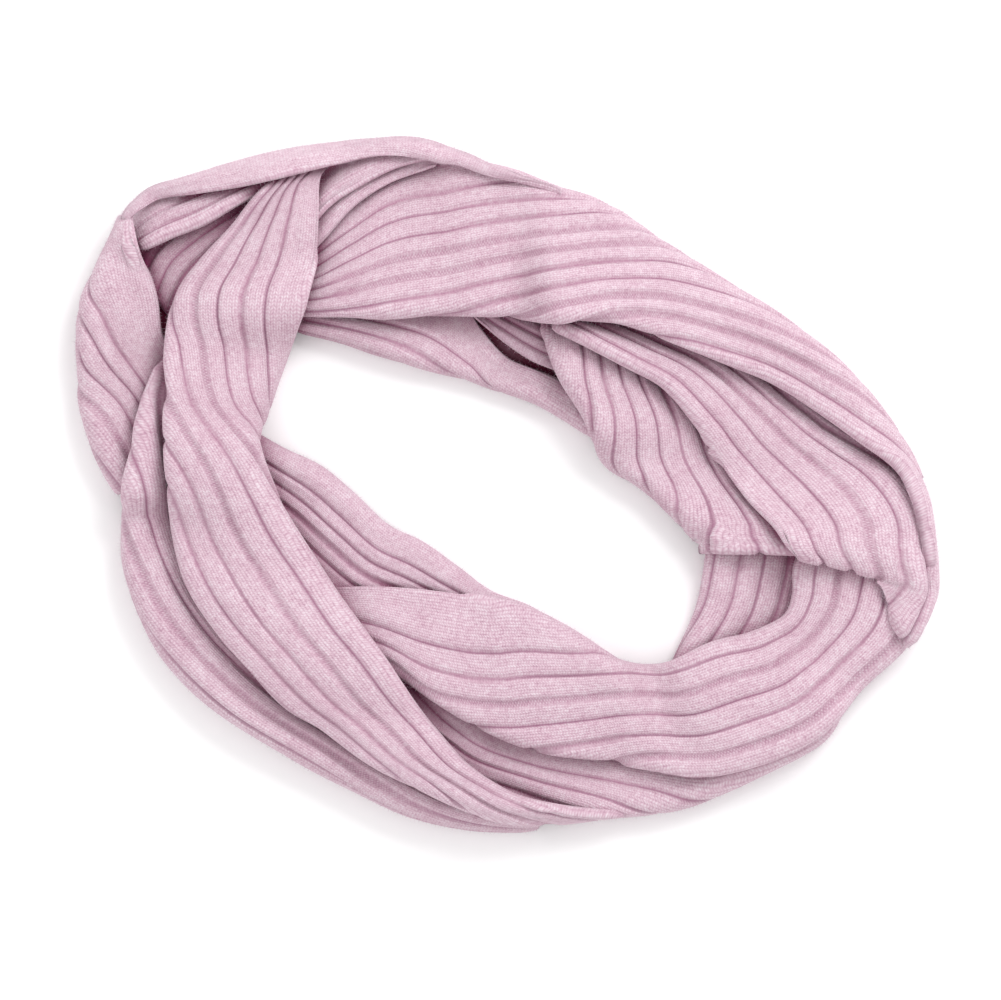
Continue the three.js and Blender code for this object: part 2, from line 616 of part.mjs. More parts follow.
// The longest way along the stretch, which sets how many sections it needs.
function lengthOf(stretch) {
  let one = 0;
  let two = 0;
  for (let k = 1; k < stretch.rows.length; k++) {
    const a = stretch.rows[k - 1];
    const b = stretch.rows[k];
    one += Math.hypot(b.x1 - a.x1, b.y1 - a.y1);
    two += Math.hypot(b.x2 - a.x2, b.y2 - a.y2);
  }
  return Math.max(one, two);
}

// The cloth folded under at the far end, as sections that go on from the last two.
const FOLD_STEPS = 4;

function foldedEnd(grid, radius) {
  const last = grid[grid.length - 1];
  const before = grid[grid.length - 2];
  const added = [];
  for (let k = 1; k <= FOLD_STEPS; k++) {
    const bend = (Math.PI * k) / FOLD_STEPS;
    added.push(
      last.map((point, i) => {
        const ahead = point.clone().sub(before[i]).setZ(0).normalize();
        const place = point.clone().addScaledVector(ahead, radius * Math.sin(bend));
        place.z -= radius * (1 - Math.cos(bend));
        return place;
      }),
    );
  }
  return added;
}

// The points of a stretch in a grid, by section and by column.
function gridOf(stretch, sections, columns) {
  const grid = sections.map((section) => waysOf(section, columns).map((way) => placeAt(section, way)));
  if (stretch.endFold) grid.push(...foldedEnd(grid, stretch.endFold));
  const middle = Math.floor(grid.length / 2);
  const along = grid[middle][0].clone().sub(grid[middle - 1][0]);
  const across = grid[middle].at(-1).clone().sub(grid[middle][0]);
  if (across.cross(along).z < 0) grid.reverse();
  return grid;
}

// The direction of a line at a point between two others, either of which may be missing at an end.
function directionAt(before, point, after) {
  const direction = new THREE.Vector3();
  if (before) direction.add(point.clone().sub(before).normalize());
  if (after) direction.add(after.clone().sub(point).normalize());
  return direction;
}

// The grid moved out along its own normals, by an amount for each column.
function movedOut(grid, columns, amount) {
  return grid.map((line, i) => {
    const outward = line.map((point, j) => {
      const along = directionAt(grid[i - 1]?.[j], point, grid[i + 1]?.[j]);
      const across = directionAt(line[j - 1], point, line[j + 1]);
      return across.cross(along).normalize();
    });
    return line.map((point, j) => {
      const shared = new THREE.Vector3();
      line.forEach((other, k) => {
        shared.addScaledVector(outward[k], Math.exp(-other.distanceTo(point) / NEAR));
      });
      const thick = amount(columns[j], ribPitch(grid, columns, i, j));
      return point.clone().addScaledVector(shared.normalize(), thick);
    });
  });
}

// How far apart the ribs are at a point of the grid.
function ribPitch(grid, columns, i, j) {
  const ribs = (k) => columns[k] && columns[k].part === "ribs";
  if (!ribs(j)) return PITCH;
  const a = ribs(j - 1) ? j - 1 : j;
  const b = ribs(j + 1) ? j + 1 : j;
  return grid[i][a].distanceTo(grid[i][b]) / Math.max(1e-6, columns[b].at - columns[a].at);
}

// A closed wall between an outer and an inner grid with the same number of sections.
function wallOf(outer, inner) {
  const vertices = [];
  const triangles = [];
  const add = (grid) => grid.map((line) => line.map((p) => vertices.push(p.x, p.y, p.z) / 3 - 1));
  const out = add(outer);
  const inn = add(inner);
  const sheet = (ids, flip) => {
    for (let i = 0; i + 1 < ids.length; i++)
      for (let j = 0; j + 1 < ids[i].length; j++) {
        const [a, b, c, d] = [ids[i][j], ids[i][j + 1], ids[i + 1][j + 1], ids[i + 1][j]];
        triangles.push(...(flip ? [a, d, c, a, c, b] : [a, b, c, a, c, d]));
      }
  };
  sheet(out, false);
  sheet(inn, true);
  // A strip between two lines of points that may differ in number.
  const strip = (near, far) => {
    let i = 0;
    let j = 0;
    while (i + 1 < near.length || j + 1 < far.length) {
      const behind = (i + 1) / near.length <= (j + 1) / far.length;
      if (j + 1 >= far.length || (i + 1 < near.length && behind)) triangles.push(near[i], far[j], near[++i]);
      else triangles.push(near[i], far[j], far[++j]);
    }
  };
  const end = out.length - 1;
  const columnOf = (ids, j) => ids.map((line) => line.at(j));
  strip(out[0], inn[0]);
  strip(inn[end], out[end]);
  strip(columnOf(inn, 0), columnOf(out, 0));
  strip(columnOf(out, -1), columnOf(inn, -1));
  return new wasm.Manifold(
    new wasm.Mesh({
      numProp: 3,
      vertProperties: new Float32Array(vertices),
      triVerts: new Uint32Array(triangles),
    }),
  );
}

// Writes a stretch's upper side into the map of what lies on the table.
function press(dense) {
  for (let i = 0; i + 1 < dense.length; i++) {
    const a = dense[i];
    const b = dense[i + 1];
    for (let j = 0; j < a.length; j++)
      for (const t of [0, 0.5]) {
        const place = a[j].clone().lerp(b[j], t);
        const k = cellOf(place.x, place.y);
        top[k] = Math.max(top[k], place.z + WALL + RIB);
      }
  }
}

// The wall of one stretch, and a fatter one that others are cut back by.
const DENSE = 60;
const LEAST_SECTIONS = 5;

function buildStretch(stretch) {
  makeBed();
  const count = Math.max(LEAST_SECTIONS, Math.round(lengthOf(stretch) / ROW_STEP));
  const shares = Array.from({ length: count + 1 }, (_, k) => k / count);
  const sections = shares.map((share) => sectionOf(stretch, share));
  const outerAt = outerColumns(stretch, sections);
  const innerAt = innerColumns(stretch, sections);
  const outerGrid = gridOf(stretch, sections, outerAt);
  const innerGrid = gridOf(stretch, sections, innerAt);
  const thick = ({ high }, pitch) => WALL + RIB * high * Math.min(1, pitch / FINE_PITCH);
  const solid = wallOf(movedOut(outerGrid, outerAt, thick), innerGrid);
  const fat = wallOf(
    movedOut(outerGrid, outerAt, (column, pitch) => thick(column, pitch) + TRIM),
    movedOut(innerGrid, innerAt, () => -TRIM),
  );
  const denseCount = Math.ceil(lengthOf(stretch) / CELL);
  const dense = [];
  for (let k = 0; k <= denseCount; k++) {
    const section = sectionOf(stretch, k / denseCount);
    dense.push(Array.from({ length: DENSE + 1 }, (_, j) => placeAt(section, (section.length * j) / DENSE)));
  }
  press(dense);
  return { solid, fat };
}

// The hidden layers as a ring: sections with a flat underside and a rounded top.
const RING_SECTIONS = 34;
const RING_STEPS = 8;
const RING_COLUMNS = ["xi", "yi", "xo", "yo", "height"];
const RING_ROUND = 2.4; // its section is a superellipse with this power
const RING_DENSE = { along: 400, across: 40 };

// A point on the ring's upper side, at a share of the way round and across.
function ringPoint(share, q) {
  const row = rowAt(HIDDEN_LAYERS, share, RING_COLUMNS, true);
  return {
    x: THREE.MathUtils.lerp(row.xi, row.xo, q),
    y: THREE.MathUtils.lerp(row.yi, row.yo, q),
    z: row.height * Math.sqrt(1 - Math.pow(Math.abs(2 * q - 1), RING_ROUND)),
  };
}

function buildHiddenLayers() {
  const vertices = [];
  const triangles = [];
  const around = RING_STEPS + 1;
  for (let i = 0; i < RING_SECTIONS; i++)
    for (let k = 0; k <= RING_STEPS; k++) {
      const { x, y, z } = ringPoint(i / RING_SECTIONS, 0.5 - 0.5 * Math.cos((Math.PI * k) / RING_STEPS));
      vertices.push(x, y, z);
    }
  for (let i = 0; i < RING_SECTIONS; i++) {
    const next = ((i + 1) % RING_SECTIONS) * around;
    for (let k = 0; k < around; k++) {
      const [a, b] = [i * around + k, i * around + ((k + 1) % around)];
      const [d, c] = [next + k, next + ((k + 1) % around)];
      triangles.push(a, c, b, a, d, c);
    }
  }
  const solid = new wasm.Manifold(
    new wasm.Mesh({
      numProp: 3,
      vertProperties: new Float32Array(vertices),
      triVerts: new Uint32Array(triangles),
    }),
  );
  for (let i = 0; i < RING_DENSE.along; i++)
    for (let k = 0; k <= RING_DENSE.across; k++) {
      const { x, y, z } = ringPoint(i / RING_DENSE.along, k / RING_DENSE.across);
      const cell = cellOf(x, y);
      top[cell] = Math.max(top[cell], z);
    }
  return solid;
}

// A layer cut back by another, without the slivers and crumbs that the cut leaves.
function trimmed(solid, tool) {
  const bodies = solid.subtract(tool).simplify(SLIVER).decompose();
  return bodies.reduce((a, b) => (a.volume() > b.volume() ? a : b));
}

// The solid with its closest points joined, and what that leaves loose left out.
const JOIN = 0.004;

function cleaned(solid) {
  const { vertProperties, triVerts } = solid.getMesh();
  const geometry = new THREE.BufferGeometry();
  geometry.setAttribute("position", new THREE.BufferAttribute(vertProperties, 3));
  geometry.setIndex(new THREE.BufferAttribute(triVerts, 1));
  const joined = mergeVertices(geometry, JOIN);
  const bodies = new wasm.Manifold(
    new wasm.Mesh({
      numProp: 3,
      vertProperties: joined.attributes.position.array,
      triVerts: new Uint32Array(joined.index.array),
    }),
  ).decompose();
  return bodies.reduce((a, b) => (a.volume() > b.volume() ? a : b));
}

function meshOf(name, whole, finish) {
  const solid = cleaned(whole);
  const made = solid.getMesh();
  const positions = new Float32Array(made.numVert * 3);
  for (let i = 0; i < made.numVert; i++) {
    positions.set(made.vertProperties.subarray(i * made.numProp, i * made.numProp + 3), i * 3);
  }
  const geometry = new THREE.BufferGeometry();
  geometry.setAttribute("position", new THREE.BufferAttribute(positions, 3));
  geometry.setIndex(new THREE.BufferAttribute(made.triVerts, 1));
  geometry.translate(-MIDDLE_X, -MIDDLE_Y, 0);
  const mesh = new THREE.Mesh(geometry, new THREE.MeshStandardMaterial(finish));
  mesh.name = name;
  return mesh;
}

const scarf = new THREE.Group();
const hidden = buildHiddenLayers();
const layers = [{ name: "hidden_layers", solid: hidden, finish: DEEP_YARN }];
for (const stretch of STRETCHES) {
  const { solid, fat } = buildStretch(stretch);
  for (const under of layers) {
    for (const tool of [fat, solid]) {
      if (under.solid.intersect(tool).volume() > 0) under.solid = trimmed(under.solid, tool);
    }
  }
  layers.push({ name: stretch.name, solid, finish: YARN });
}
for (const { name, solid, finish } of layers) scarf.add(meshOf(name, solid, finish));

export default scarf;
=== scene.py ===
import math

import bpy
import numpy as np
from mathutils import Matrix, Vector


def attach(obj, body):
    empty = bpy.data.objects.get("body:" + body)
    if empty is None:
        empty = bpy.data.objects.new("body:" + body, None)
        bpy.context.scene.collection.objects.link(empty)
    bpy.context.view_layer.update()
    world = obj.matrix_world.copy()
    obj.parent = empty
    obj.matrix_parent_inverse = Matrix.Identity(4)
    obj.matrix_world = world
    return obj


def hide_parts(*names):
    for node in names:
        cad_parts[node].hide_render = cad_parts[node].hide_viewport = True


# %% [markdown]
# # An infinity scarf, laid down twice round
# The scarf is one endless loop of wide-rib knit. It lies as a loose twisted ring, so the camera sees
# many stretches of the same cloth, each passing over or under others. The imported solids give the
# place and size of each stretch. Here each one gets its real cloth form, with rounded ribs, narrow
# channels and soft edges, and a brushed knit finish.

# %% Load the frame
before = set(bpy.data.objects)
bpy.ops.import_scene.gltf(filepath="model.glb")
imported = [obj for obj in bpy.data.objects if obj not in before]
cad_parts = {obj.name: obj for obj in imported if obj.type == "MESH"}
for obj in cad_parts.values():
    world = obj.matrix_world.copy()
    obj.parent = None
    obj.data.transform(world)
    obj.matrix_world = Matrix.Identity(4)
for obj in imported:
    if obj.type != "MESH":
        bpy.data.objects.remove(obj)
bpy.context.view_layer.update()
bpy.ops.object.select_all(action="DESELECT")

# %% [markdown]
# ## Sizes of the cloth
# A rib and its channel are 10 mm wide when nothing pulls them, and the cloth is about 1.5 mm thick in
# a channel. The rib stands a little over 1 mm higher. Everything below is worked out in millimetres
# and turned to metres only when a mesh is made.

# %% Sizes of the cloth
WALL = 1.5  # cloth in a channel
RIB = 1.2  # how far a rib stands above the channel
PITCH = 10.0  # one rib and its channel, unstretched
GAP = 0.5  # air between two layers
RUN = 9.0  # cloth that goes on under a fold
MIDDLE = (3.6, 8.0)  # the middle of the footprint in the tables
ROW_STEP = 2.0  # the mesh's rows along a rib
RIB_STEPS = 10  # the mesh's columns for each rib
MM = 0.001
rng = np.random.default_rng(20)
print("one rib is", PITCH, "mm wide and", WALL + RIB, "mm thick at its crest")

# %% [markdown]
# ## Where each stretch lies
# Each table has one row for a section across the cloth. x1, y1 and x2, y2 are its two edges seen from
# above. r1 and r2 are the radii that the cloth turns under with there, and 0 is an open edge. c1 and
# c2 count the ribs from the first edge of the cloth to those places. bias crowds the ribs to one side,
# rise is a crown and lift is air under the section. band1 and band2 are plain bands beside the ribs.

# %% The tables
def table(text):
    names, *lines = text.strip().splitlines()
    values = np.array([[float(v) for v in line.split()] for line in lines])
    return {name: values[:, k] for k, name in enumerate(names.split())}


STRETCHES = {}


def lay(name, band1, ribs, band2, text, end_fold=0.0):
    rows = table(text)
    STRETCHES[name] = dict(rows=rows, band1=band1, ribs=ribs, band2=band2, end_fold=end_fold)


lay(
    "inner_top_stretch",
    0.0,
    4,
    2.5,
    """
      x1   y1  r1  c1    x2   y2  r2   c2  bias rise lift
    -104   84   5 1.8   -96  104   0  6.5     0    0    0
     -81   79   6 1.8   -68  104   0  6.5     0    0    0
     -61   72   6 1.8   -42  103   0  6.5     0    0    0
     -42   66   6 2.2   -20   99   0  6.5     0    0    0
     -18   60   5 3.0   -10   86   0  6.5     0    0    0
      -4   55   4 3.8     3   71   0  6.5     0    1    0
     15   49   4 4.4    22   63   0  6.5     0    1    0
     32   40   4 4.6    41   54   0  6.5     0    0    0
     48   30   3 4.8    60   44   0  6.5     0    0    0
    """,
)
lay(
    "deep_top_stretch",
    0.0,
    4,
    0.0,
    """
      x1   y1  r1  c1    x2   y2  r2   c2  bias rise lift
     -16   93   0   0   -12  104   0    4     0    0    0
     2   78   0   0    10   98   0    4     0    0    1
      16   69   0   0    24   92   0    4     0    1    3
      30   63   0   0    38   84   0    4     0    1    3
      46   52   0   0    56   72   0    4     0    0    1
    """,
)
lay(
    "inner_lower_stretch",
    2.2,
    4,
    0.0,
    """
      x1   y1  r1  c1    x2   y2  r2   c2  bias rise lift
    -125   35   4 0.5  -134    6   0  6.2     0    0    0
    -109   26   5 0.5  -120   -8   0  6.2     0    0    0
     -90   17   5 0.4  -106  -22   0  6.2     0    0    0
     -74    4   5 0.4   -92  -36   0  6.2     0    0    0
     -57  -12   4 0.4   -74  -50   0  6.2     0    0    0
     -40  -21   4 0.4   -54  -58   0  6.2     0    0    0
     -22  -34   4 0.4   -34  -64   0  6.2     0    0    0
      -5  -46   4 0.5   -14  -68   0  6.2     0    0    0
      16  -54   4 0.8     8  -76   0  6.2     0    0    0
      38  -68   3 1.2    34  -86   0  6.2     0    0    0
      58  -80   3 1.6    56  -94   0  6.2     0    0    0
    """,
)
lay(
    "upper_left_lining",
    0.0,
    4,
    0.0,
    """
      x1   y1  r1  c1    x2   y2  r2   c2  bias rise lift
    -184  116   0   0  -160   84   0    4     0    0    0
    -176  130   0   0  -152  104   0    4     0    0    1
    -160  141   0   0  -140  118   0    4     0    0    1
    -140  150   0   0  -122  134   0    4     0    0    1
    -118  160   0   0  -104  146   0    4     0    0    0
    """,
)
lay(
    "upper_left_turn",
    1.6,
    2,
    0.0,
    """
      x1   y1  r1  c1    x2   y2  r2   c2  bias rise lift
    -186  138   0   0  -178  123   2  3.2     0    0    3
    -172  150   0   0  -164  130   2  3.2     0    1    3
    -154  156   0   0  -147  137   2  3.2     0    1    3
    -134  160   0   0  -129  147   2  3.2     0    0    3
    -116  165   0   0  -113  155   2  3.2     0    0    1
    """,
)
lay(
    "outer_left_stretch",
    0.0,
    6,
    2.6,
    """
      x1   y1  r1  c1    x2   y2  r2   c2  bias rise lift
    -189  141   5 7.0  -183  143   0  8.6     0    0    5
    -196  127   7 6.5  -178  122   0  8.6     0    1    5
    -203  112   8 6.0  -173  110   0  8.6     0    1    5
    -208   99   8 5.3  -170   99   0  8.6     0    1    4
    -211   80   8 3.8  -168   83   0  8.6   0.1    1    2
    -211   62   8 3.2  -162   70   0  8.6  -0.2    1    0
    -209   44   8 2.4  -158   54   0  8.6  -0.6    0    0
    -203   24   8 1.9  -154   38   0  8.6  -0.7    0    0
    -192    2   7 1.6  -148   20   0  8.6  -0.7    0    0
    """,
)
lay(
    "outer_lower_stretch",
    2.0,
    4,
    0.0,
    """
      x1   y1  r1  c1    x2   y2  r2   c2  bias rise lift
     -60  -56   0   0   -76  -76   0    6  -0.4    0    0
     -42  -76   0   0   -60 -100   0    6  -0.4    1    0
     -24  -94   0   0   -44 -124   0    6  -0.3    2    0
      -4 -108   0   0   -24 -142   3  5.6  -0.2    2    0
      18 -118   0   0    10 -152   5  5.2     0    2    0
      42 -121   0   0    38 -159   7  4.9     0    1    0
      70 -121   0   0    70 -157   8  3.4     0    0    0
     100 -120   0   0   100 -151   8  2.2     0    0    0
     124 -116   0   0   132 -136   8  1.8     0    0    0
     146 -104   0   0   160 -121   6  1.6     0    0    0
     156  -92   0   0   170 -106   5  1.6     0    0    0
    """,
)
lay(
    "inner_right_stretch",
    0.0,
    5,
    0.0,
    """
      x1   y1  r1  c1    x2   y2  r2   c2  bias rise lift
     104  -16   4 0.6   158  -16   0    5     0    0    0
     101  -37   5 0.6   154  -38   0    5     0    0    0
     98  -53   5 0.7   148  -60   0    5     0   -1    0
     91  -70   5 0.9   136  -79   0    5     0    0    0
     82  -86   4 1.0   122  -94   0    5     0    0    0
    """,
)
lay(
    "lower_right_stretch",
    2.0,
    8,
    0.0,
    """
      x1   y1  r1  c1    x2   y2  r2   c2  bias rise lift
     -92  -44   0   0   -76  -76   2  4.4     0    0    0
     -68  -43   0   0   -54  -85   2  4.4  -0.1    1    0
     -44  -44   0   0   -32 -100   2  4.3  -0.1    2    0
     -20  -47   0   0    -6 -115   2  5.2  -0.2    3    0
       5  -51   3 0.2    20 -125   2  6.1  -0.1    3    0
      30  -62   5 0.6    50 -129   2  6.8     0    3    0
      55  -78   6 2.0    75 -133   2  7.6     0    3    0
      78  -82   6 2.3   103 -137   2  7.9     0    3    0
     104  -71   4 2.3   134 -130   3  8.0     0    3    0
     124  -66   3 2.2   160 -116   5  8.0     0    3    0
     140  -58   2 2.2   182  -92   8  8.0   0.1    2    0
     145  -46   2 2.2   202  -72   8  7.8   0.1    1    0
     146  -32   2 2.2   212  -52   8  7.8   0.1    0    0
     152  -16   2 2.2   212  -28   8  7.8   0.1    0    0
    """,
)
lay(
    "right_inner_stretch",
    2.0,
    6,
    0.0,
    """
      x1   y1  r1  c1    x2   y2  r2   c2  bias rise lift
      20   92   0   0    64   88   0    8  -0.3    0    0
      23   76   2 0.2    82   72   0    8  -0.2    1    1
      29   61   4 0.7    96   56   0    8     0    2    1
      41   42   6 1.5   106   40   0    8     0    2    1
      51   20   7 2.4   114   22   0    8     0    2    1
      70    7   7 3.6   124    5   0    8     0    2    1
      86   -8   6 4.8   138  -10   0    8     0    2    5
     100  -22   0 5.7   152  -24   0    8     0    1    7
    """,
    end_fold=2.0,
)
lay(
    "right_stretch",
    0.0,
    7,
    0.0,
    """
      x1   y1  r1  c1    x2   y2  r2   c2  bias rise lift
      24   85   2 0.3    36   98   0    7  -0.4    0    0
      41   77   3 0.4    60   96   0    7  -0.4    1    0
      62   66   3 0.4    90   87   0    7  -0.4    2    0
      80   56   3 0.4   122   75   0    7  -0.4    2    0
      96   38   2 0.3   160   52   0    7  -0.2    2    0
     110   17   0   0   184   28   3  5.6     0    2    1
     122    0   0   0   203   12   6  5.4     0    2    1
     134  -13   0   0   214  -10   8  5.4     0    2    4
     145  -26   0   0   217  -38   4  5.6     0    1    4
     170  -31   0 1.7   216  -50   4  5.5     0    0    2
     186  -39   0 3.1   210  -63   4  5.4     0    0    0
     192  -52   0 4.0   205  -71   3  5.3     0    0   -1
     196  -62   0 4.5   202  -73   2  5.2     0    0   -5
    """,
)
lay(
    "upper_stretch",
    2.0,
    10,
    0.0,
    """
      x1   y1  r1  c1    x2   y2  r2   c2  bias rise lift
    -108  116   0   0  -104   92   2  7.2     0    0    0
     -94  132   0   0   -89   91   3  7.4  -0.1    1    0
     -75  149   0   0   -72   91   4  7.5     0    2    0
     -52  167   0   0   -52   90   5  7.8     0    3    0
     -27  171   2 0.2   -22   91   5  8.2     0    3    0
       0  166   5 0.9     5   90   5  9.0     0    3    0
      26  156   7 1.8    30   87   5  9.8     0    3    0
      52  147   9 2.8    58   87   4 10.4     0    3    0
      78  130   9 5.0    85   78   3 11.2     0    3    0
     106  112   9 6.5   111   68   3 11.5     0    2    0
     137   93   9 7.5   135   58   3 11.7     0    1    0
     164   73   9 8.4   157   44   3 11.8     0    0    0
     186   50   8 9.3   179   28   3 11.8     0    0    0
     203   26   6 10.2   196   15   2 11.8     0    0    0
     211    5   4 11.0   204    0   2 11.8     0    0   -1
     214  -16   3 11.3   209  -19   2 11.8     0    0   -4
     214  -32   1 11.6   211.5 -33  1 11.8     0    0   -8
    """,
)
lay(
    "upper_roll",
    2.0,
    0,
    0.0,
    """
      x1   y1  r1  c1    x2   y2  r2   c2  bias rise lift
    -100  134   0   0   -97  119   0    2     0    1    0
     -86  148   0   0   -87  130   0    2     0    2    0
     -71  160   0   0   -74  145   0    2     0    3    0
     -52  169   0   0   -55  158   0    2     0    2    0
     -31  173   0   0   -32  166   0    2     0    1    0
    """,
)
lay(
    "upper_fold",
    2.6,
    0,
    0.0,
    """
      x1   y1  r1  c1    x2   y2  r2   c2  bias rise lift
    -100  156   0   0   -97  130   0  2.6     0    2    0
     -87  167   0   0   -85  145   0  2.6     0    3    0
     -70  174   0   0   -71  155   0  2.6     0    4    0
     -50  177   0   0   -52  165   0  2.6     0    3    0
     -30  174   0   0   -32  170   0  2.6     0    0   -4
    """,
)
lay(
    "outer_fold_stretch",
    0.0,
    7,
    0.0,
    """
      x1   y1  r1  c1    x2   y2  r2   c2  bias rise lift
     -164   78   1 6.6  -160   78   0    7     0    0   -4
     -171   66   2 5.8  -156   64   0    7     0    0    0
    -178   46   4 5.6  -154   44   0    7     0    0    0
    -186   12   6 4.5  -152   12   0    7     0    1    0
    -188  -12   8 3.7  -150  -12   0    7     0    1    0
    -187  -34   9 3.1  -144  -30   0    7     0    1    0
    -180  -56   9 2.8  -132  -50   0    7     0    2    0
    -166  -80   9 2.4  -116  -70   0    7     0    2    0
    -140 -106   9 2.2   -94  -90   0    7     0    2    0
    -104 -128   9 2.2   -70 -108   0    7     0    1    0
     -75 -143   9 2.4   -48 -122   0    7     0    1    0
     -45 -157   9 2.6   -26 -134   0    7     0    1    0
     -15 -164   8 2.8    -2 -146   0    7     0    0    0
      18 -165   7 3.0    24 -153   0    7     0    0    0
    """,
)
lay(
    "left_stretch",
    0.0,
    9,
    1.7,
    """
      x1   y1  r1  c1    x2   y2  r2   c2  bias rise lift
    -101  166   2 5.3   -80  170   0 10.7     0    0    0
    -119  152   2 5.3   -89  161   0 10.7   0.2    1    0
    -134  134   3 5.2   -90  143   0 10.7   0.1    2    0
    -150  117   3 5.1   -91  124   0 10.7     0    3    0
    -162  100   3 5.0   -94  102   2 10.7     0    3    0
    -166   75   3 4.4  -105   74   4 10.2     0    3    0
    -166   50   3 3.9  -114   48   7  9.2     0    3    0
    -166   25   3 2.8  -119   27   8  6.8     0    3    0
    -164    0   3 1.7  -109    0   7  6.0   0.3    3    0
    -161  -22   3 1.4   -96  -22   6  5.9   0.3    3    0
    -155  -43   3 1.2   -82  -44   4  5.8   0.2    3    0
    -143  -62   3 1.1   -69  -62   3  5.8   0.2    3    0
    -129  -79   3 1.0   -56  -80   3  5.7   0.2    3    0
    -109 -100   3 0.9   -42 -101   3  5.7   0.2    3    0
     -90 -112   3 1.0   -31 -116   3  5.7   0.2    3    0
     -69 -127   3 1.3   -18 -131   3  5.7   0.2    2    0
     -48 -138   3 1.9    -2 -142   3  5.7   0.1    2    0
     -27 -148   3 2.6    13 -149   3  5.6   0.1    1    0
     -2 -157   3 3.3    38 -154   2  5.6     0    0   -3
     28 -161   2 4.0    66 -156   2  5.6     0    0  -10
    """,
)
lay(
    "outer_top_band",
    2.4,
    0,
    0.0,
    """
      x1   y1  r1  c1    x2   y2  r2   c2  bias rise lift
     -188  139   0   0  -185  138   0  2.4     0    0   -4
     -183  147   0   0  -178  144   0  2.4     0    0   -1
     -174  154   0   0  -168  150   0  2.4     0    1    0
    -155  159   0   0  -151  152   0  2.4     0    2    3
    -134  165   0   0  -130  155   0  2.4     0    3    3
    -112  171   0   0  -109  159   0  2.4     0    4    3
     -88  175   0   0   -84  166   0  2.4     0    4    2
     -62 177.5  0   0   -60  171.5 0  2.4     0    3    2
     -40 177.5  0   0   -41  171   0  2.4     0    3    2
     -20  172   0   0   -22  167   0  2.4     0    2    1
     -2  164   0   0    -5  161   0  2.4     0    1    0
     14  158.5 0   0    13  156   0  2.4     0    0   -1
     30  153   0   0  29.5  151.5 0  2.4     0    0   -4
    """,
)
HIDDEN_LAYERS = table(
    """
    xi   yi   xo   yo height
   124  -36  194  -48    8
   116  -62  166  -84    8
    98  -88  132 -112    8
    70  -98   90 -134    8
    44  -92   50 -143    9
    20  -76   14 -145   10
    -6  -62  -26 -142   10
   -34  -44  -60 -130   10
   -56  -30  -92 -112   10
   -78  -16 -126  -88   10
   -98    2 -156  -60   10
  -126   16 -170  -26    9
  -138   36 -174    8    8
  -136   52 -190   44    8
  -128   74 -190   82    8
  -112   98 -180  116    8
   -94  110 -150  140    8
   -76  106 -112  152    9
   -46   98  -74  160    9
   -20   84  -34  158    9
     4   66    6  142    9
    32   52   44  130    9
    58   44   80  108    9
    78   28  122   80    9
    92   12  160   48    9
   106   -6  186   14    9
   118  -20  196  -16    8
    """
)
print(len(STRETCHES), "stretches show, and", len(HIDDEN_LAYERS["xi"]), "sections make the ring under them")

# %% [markdown]
# ## From a table to a smooth run of sections
# A smooth curve through the rows gives as many sections as the mesh needs. The curve passes through
# each row, so the folds stay where the tables put them.

# %% Sections between the rows
def through(a, b, c, d, t):
    return 0.5 * (
        2 * b + (c - a) * t + (2 * a - 5 * b + 4 * c - d) * t**2 + (3 * b - a - 3 * c + d) * t**3
    )


def rows_at(rows, shares, closed=False):
    count = len(next(iter(rows.values())))
    place = shares * (count if closed else count - 1)
    first = np.floor(place).astype(int)
    if not closed:
        first = np.minimum(first, count - 2)
    picks = [first + k for k in (-1, 0, 1, 2)]
    picks = [p % count if closed else np.clip(p, 0, count - 1) for p in picks]
    return {name: through(*[column[p] for p in picks], place - first) for name, column in rows.items()}


def smooth_step(x, low, high):
    t = np.clip((x - low) / (high - low), 0, 1)
    return t * t * (3 - 2 * t)


def mix(a, b, t):
    return a + (b - a) * t


# %% [markdown]
# ## What a layer lies on
# Cloth settles on what is under it. A height map of everything laid down so far is kept, cell by
# cell. Before each new layer it is widened and smoothed, because a soft cloth doesn't follow every
# dent. This gives a natural drape with no simulation, so each run gives the same result.

# %% The height map
CELL = 2.0
REACH_X, REACH_Y = 240.0, 200.0
SPREAD = 2
top = np.zeros((int(2 * REACH_Y / CELL), int(2 * REACH_X / CELL)))


def filtered(field, axis, join):
    padded = np.pad(field, [(SPREAD, SPREAD) if k == axis else (0, 0) for k in (0, 1)], mode="edge")
    size = field.shape[axis]
    return join([np.take(padded, range(k, k + size), axis=axis) for k in range(2 * SPREAD + 1)])


def make_beds(field):
    # The bed is widened and then smoothed. An open edge comes down to the same heights smoothed alone.
    highest = lambda parts: np.max(parts, axis=0)
    mean = lambda parts: np.mean(parts, axis=0)
    wide = filtered(filtered(field, 1, highest), 0, highest)
    blur = lambda part: filtered(filtered(part, 1, mean), 0, mean)
    return blur(wide), blur(field)


def height_of(field, x, y):
    a = np.clip((x + REACH_X) / CELL - 0.5, 0, field.shape[1] - 2)
    b = np.clip((y + REACH_Y) / CELL - 0.5, 0, field.shape[0] - 2)
    i, j = np.floor(a).astype(int), np.floor(b).astype(int)
    near = mix(field[j, i], field[j, i + 1], a - i)
    far = mix(field[j + 1, i], field[j + 1, i + 1], a - i)
    return mix(near, far, b - j)


def press(field, x, y, z):
    i = np.clip(((x + REACH_X) / CELL).astype(int), 0, field.shape[1] - 1)
    j = np.clip(((y + REACH_Y) / CELL).astype(int), 0, field.shape[0] - 1)
    np.maximum.at(field, (j.ravel(), i.ravel()), z.ravel())


print("height map of", top.shape[1], "by", top.shape[0], "cells of", CELL, "mm")

# %% [markdown]
# ## The line of one section
# Seen along a rib, a stretch is a line: it comes up round the fold at its first edge, passes over the
# top and goes down round the fold at its second edge. All sections are worked out at once, one row of
# an array for each. Every point also gets its rib count, so a rib can be followed through a fold.

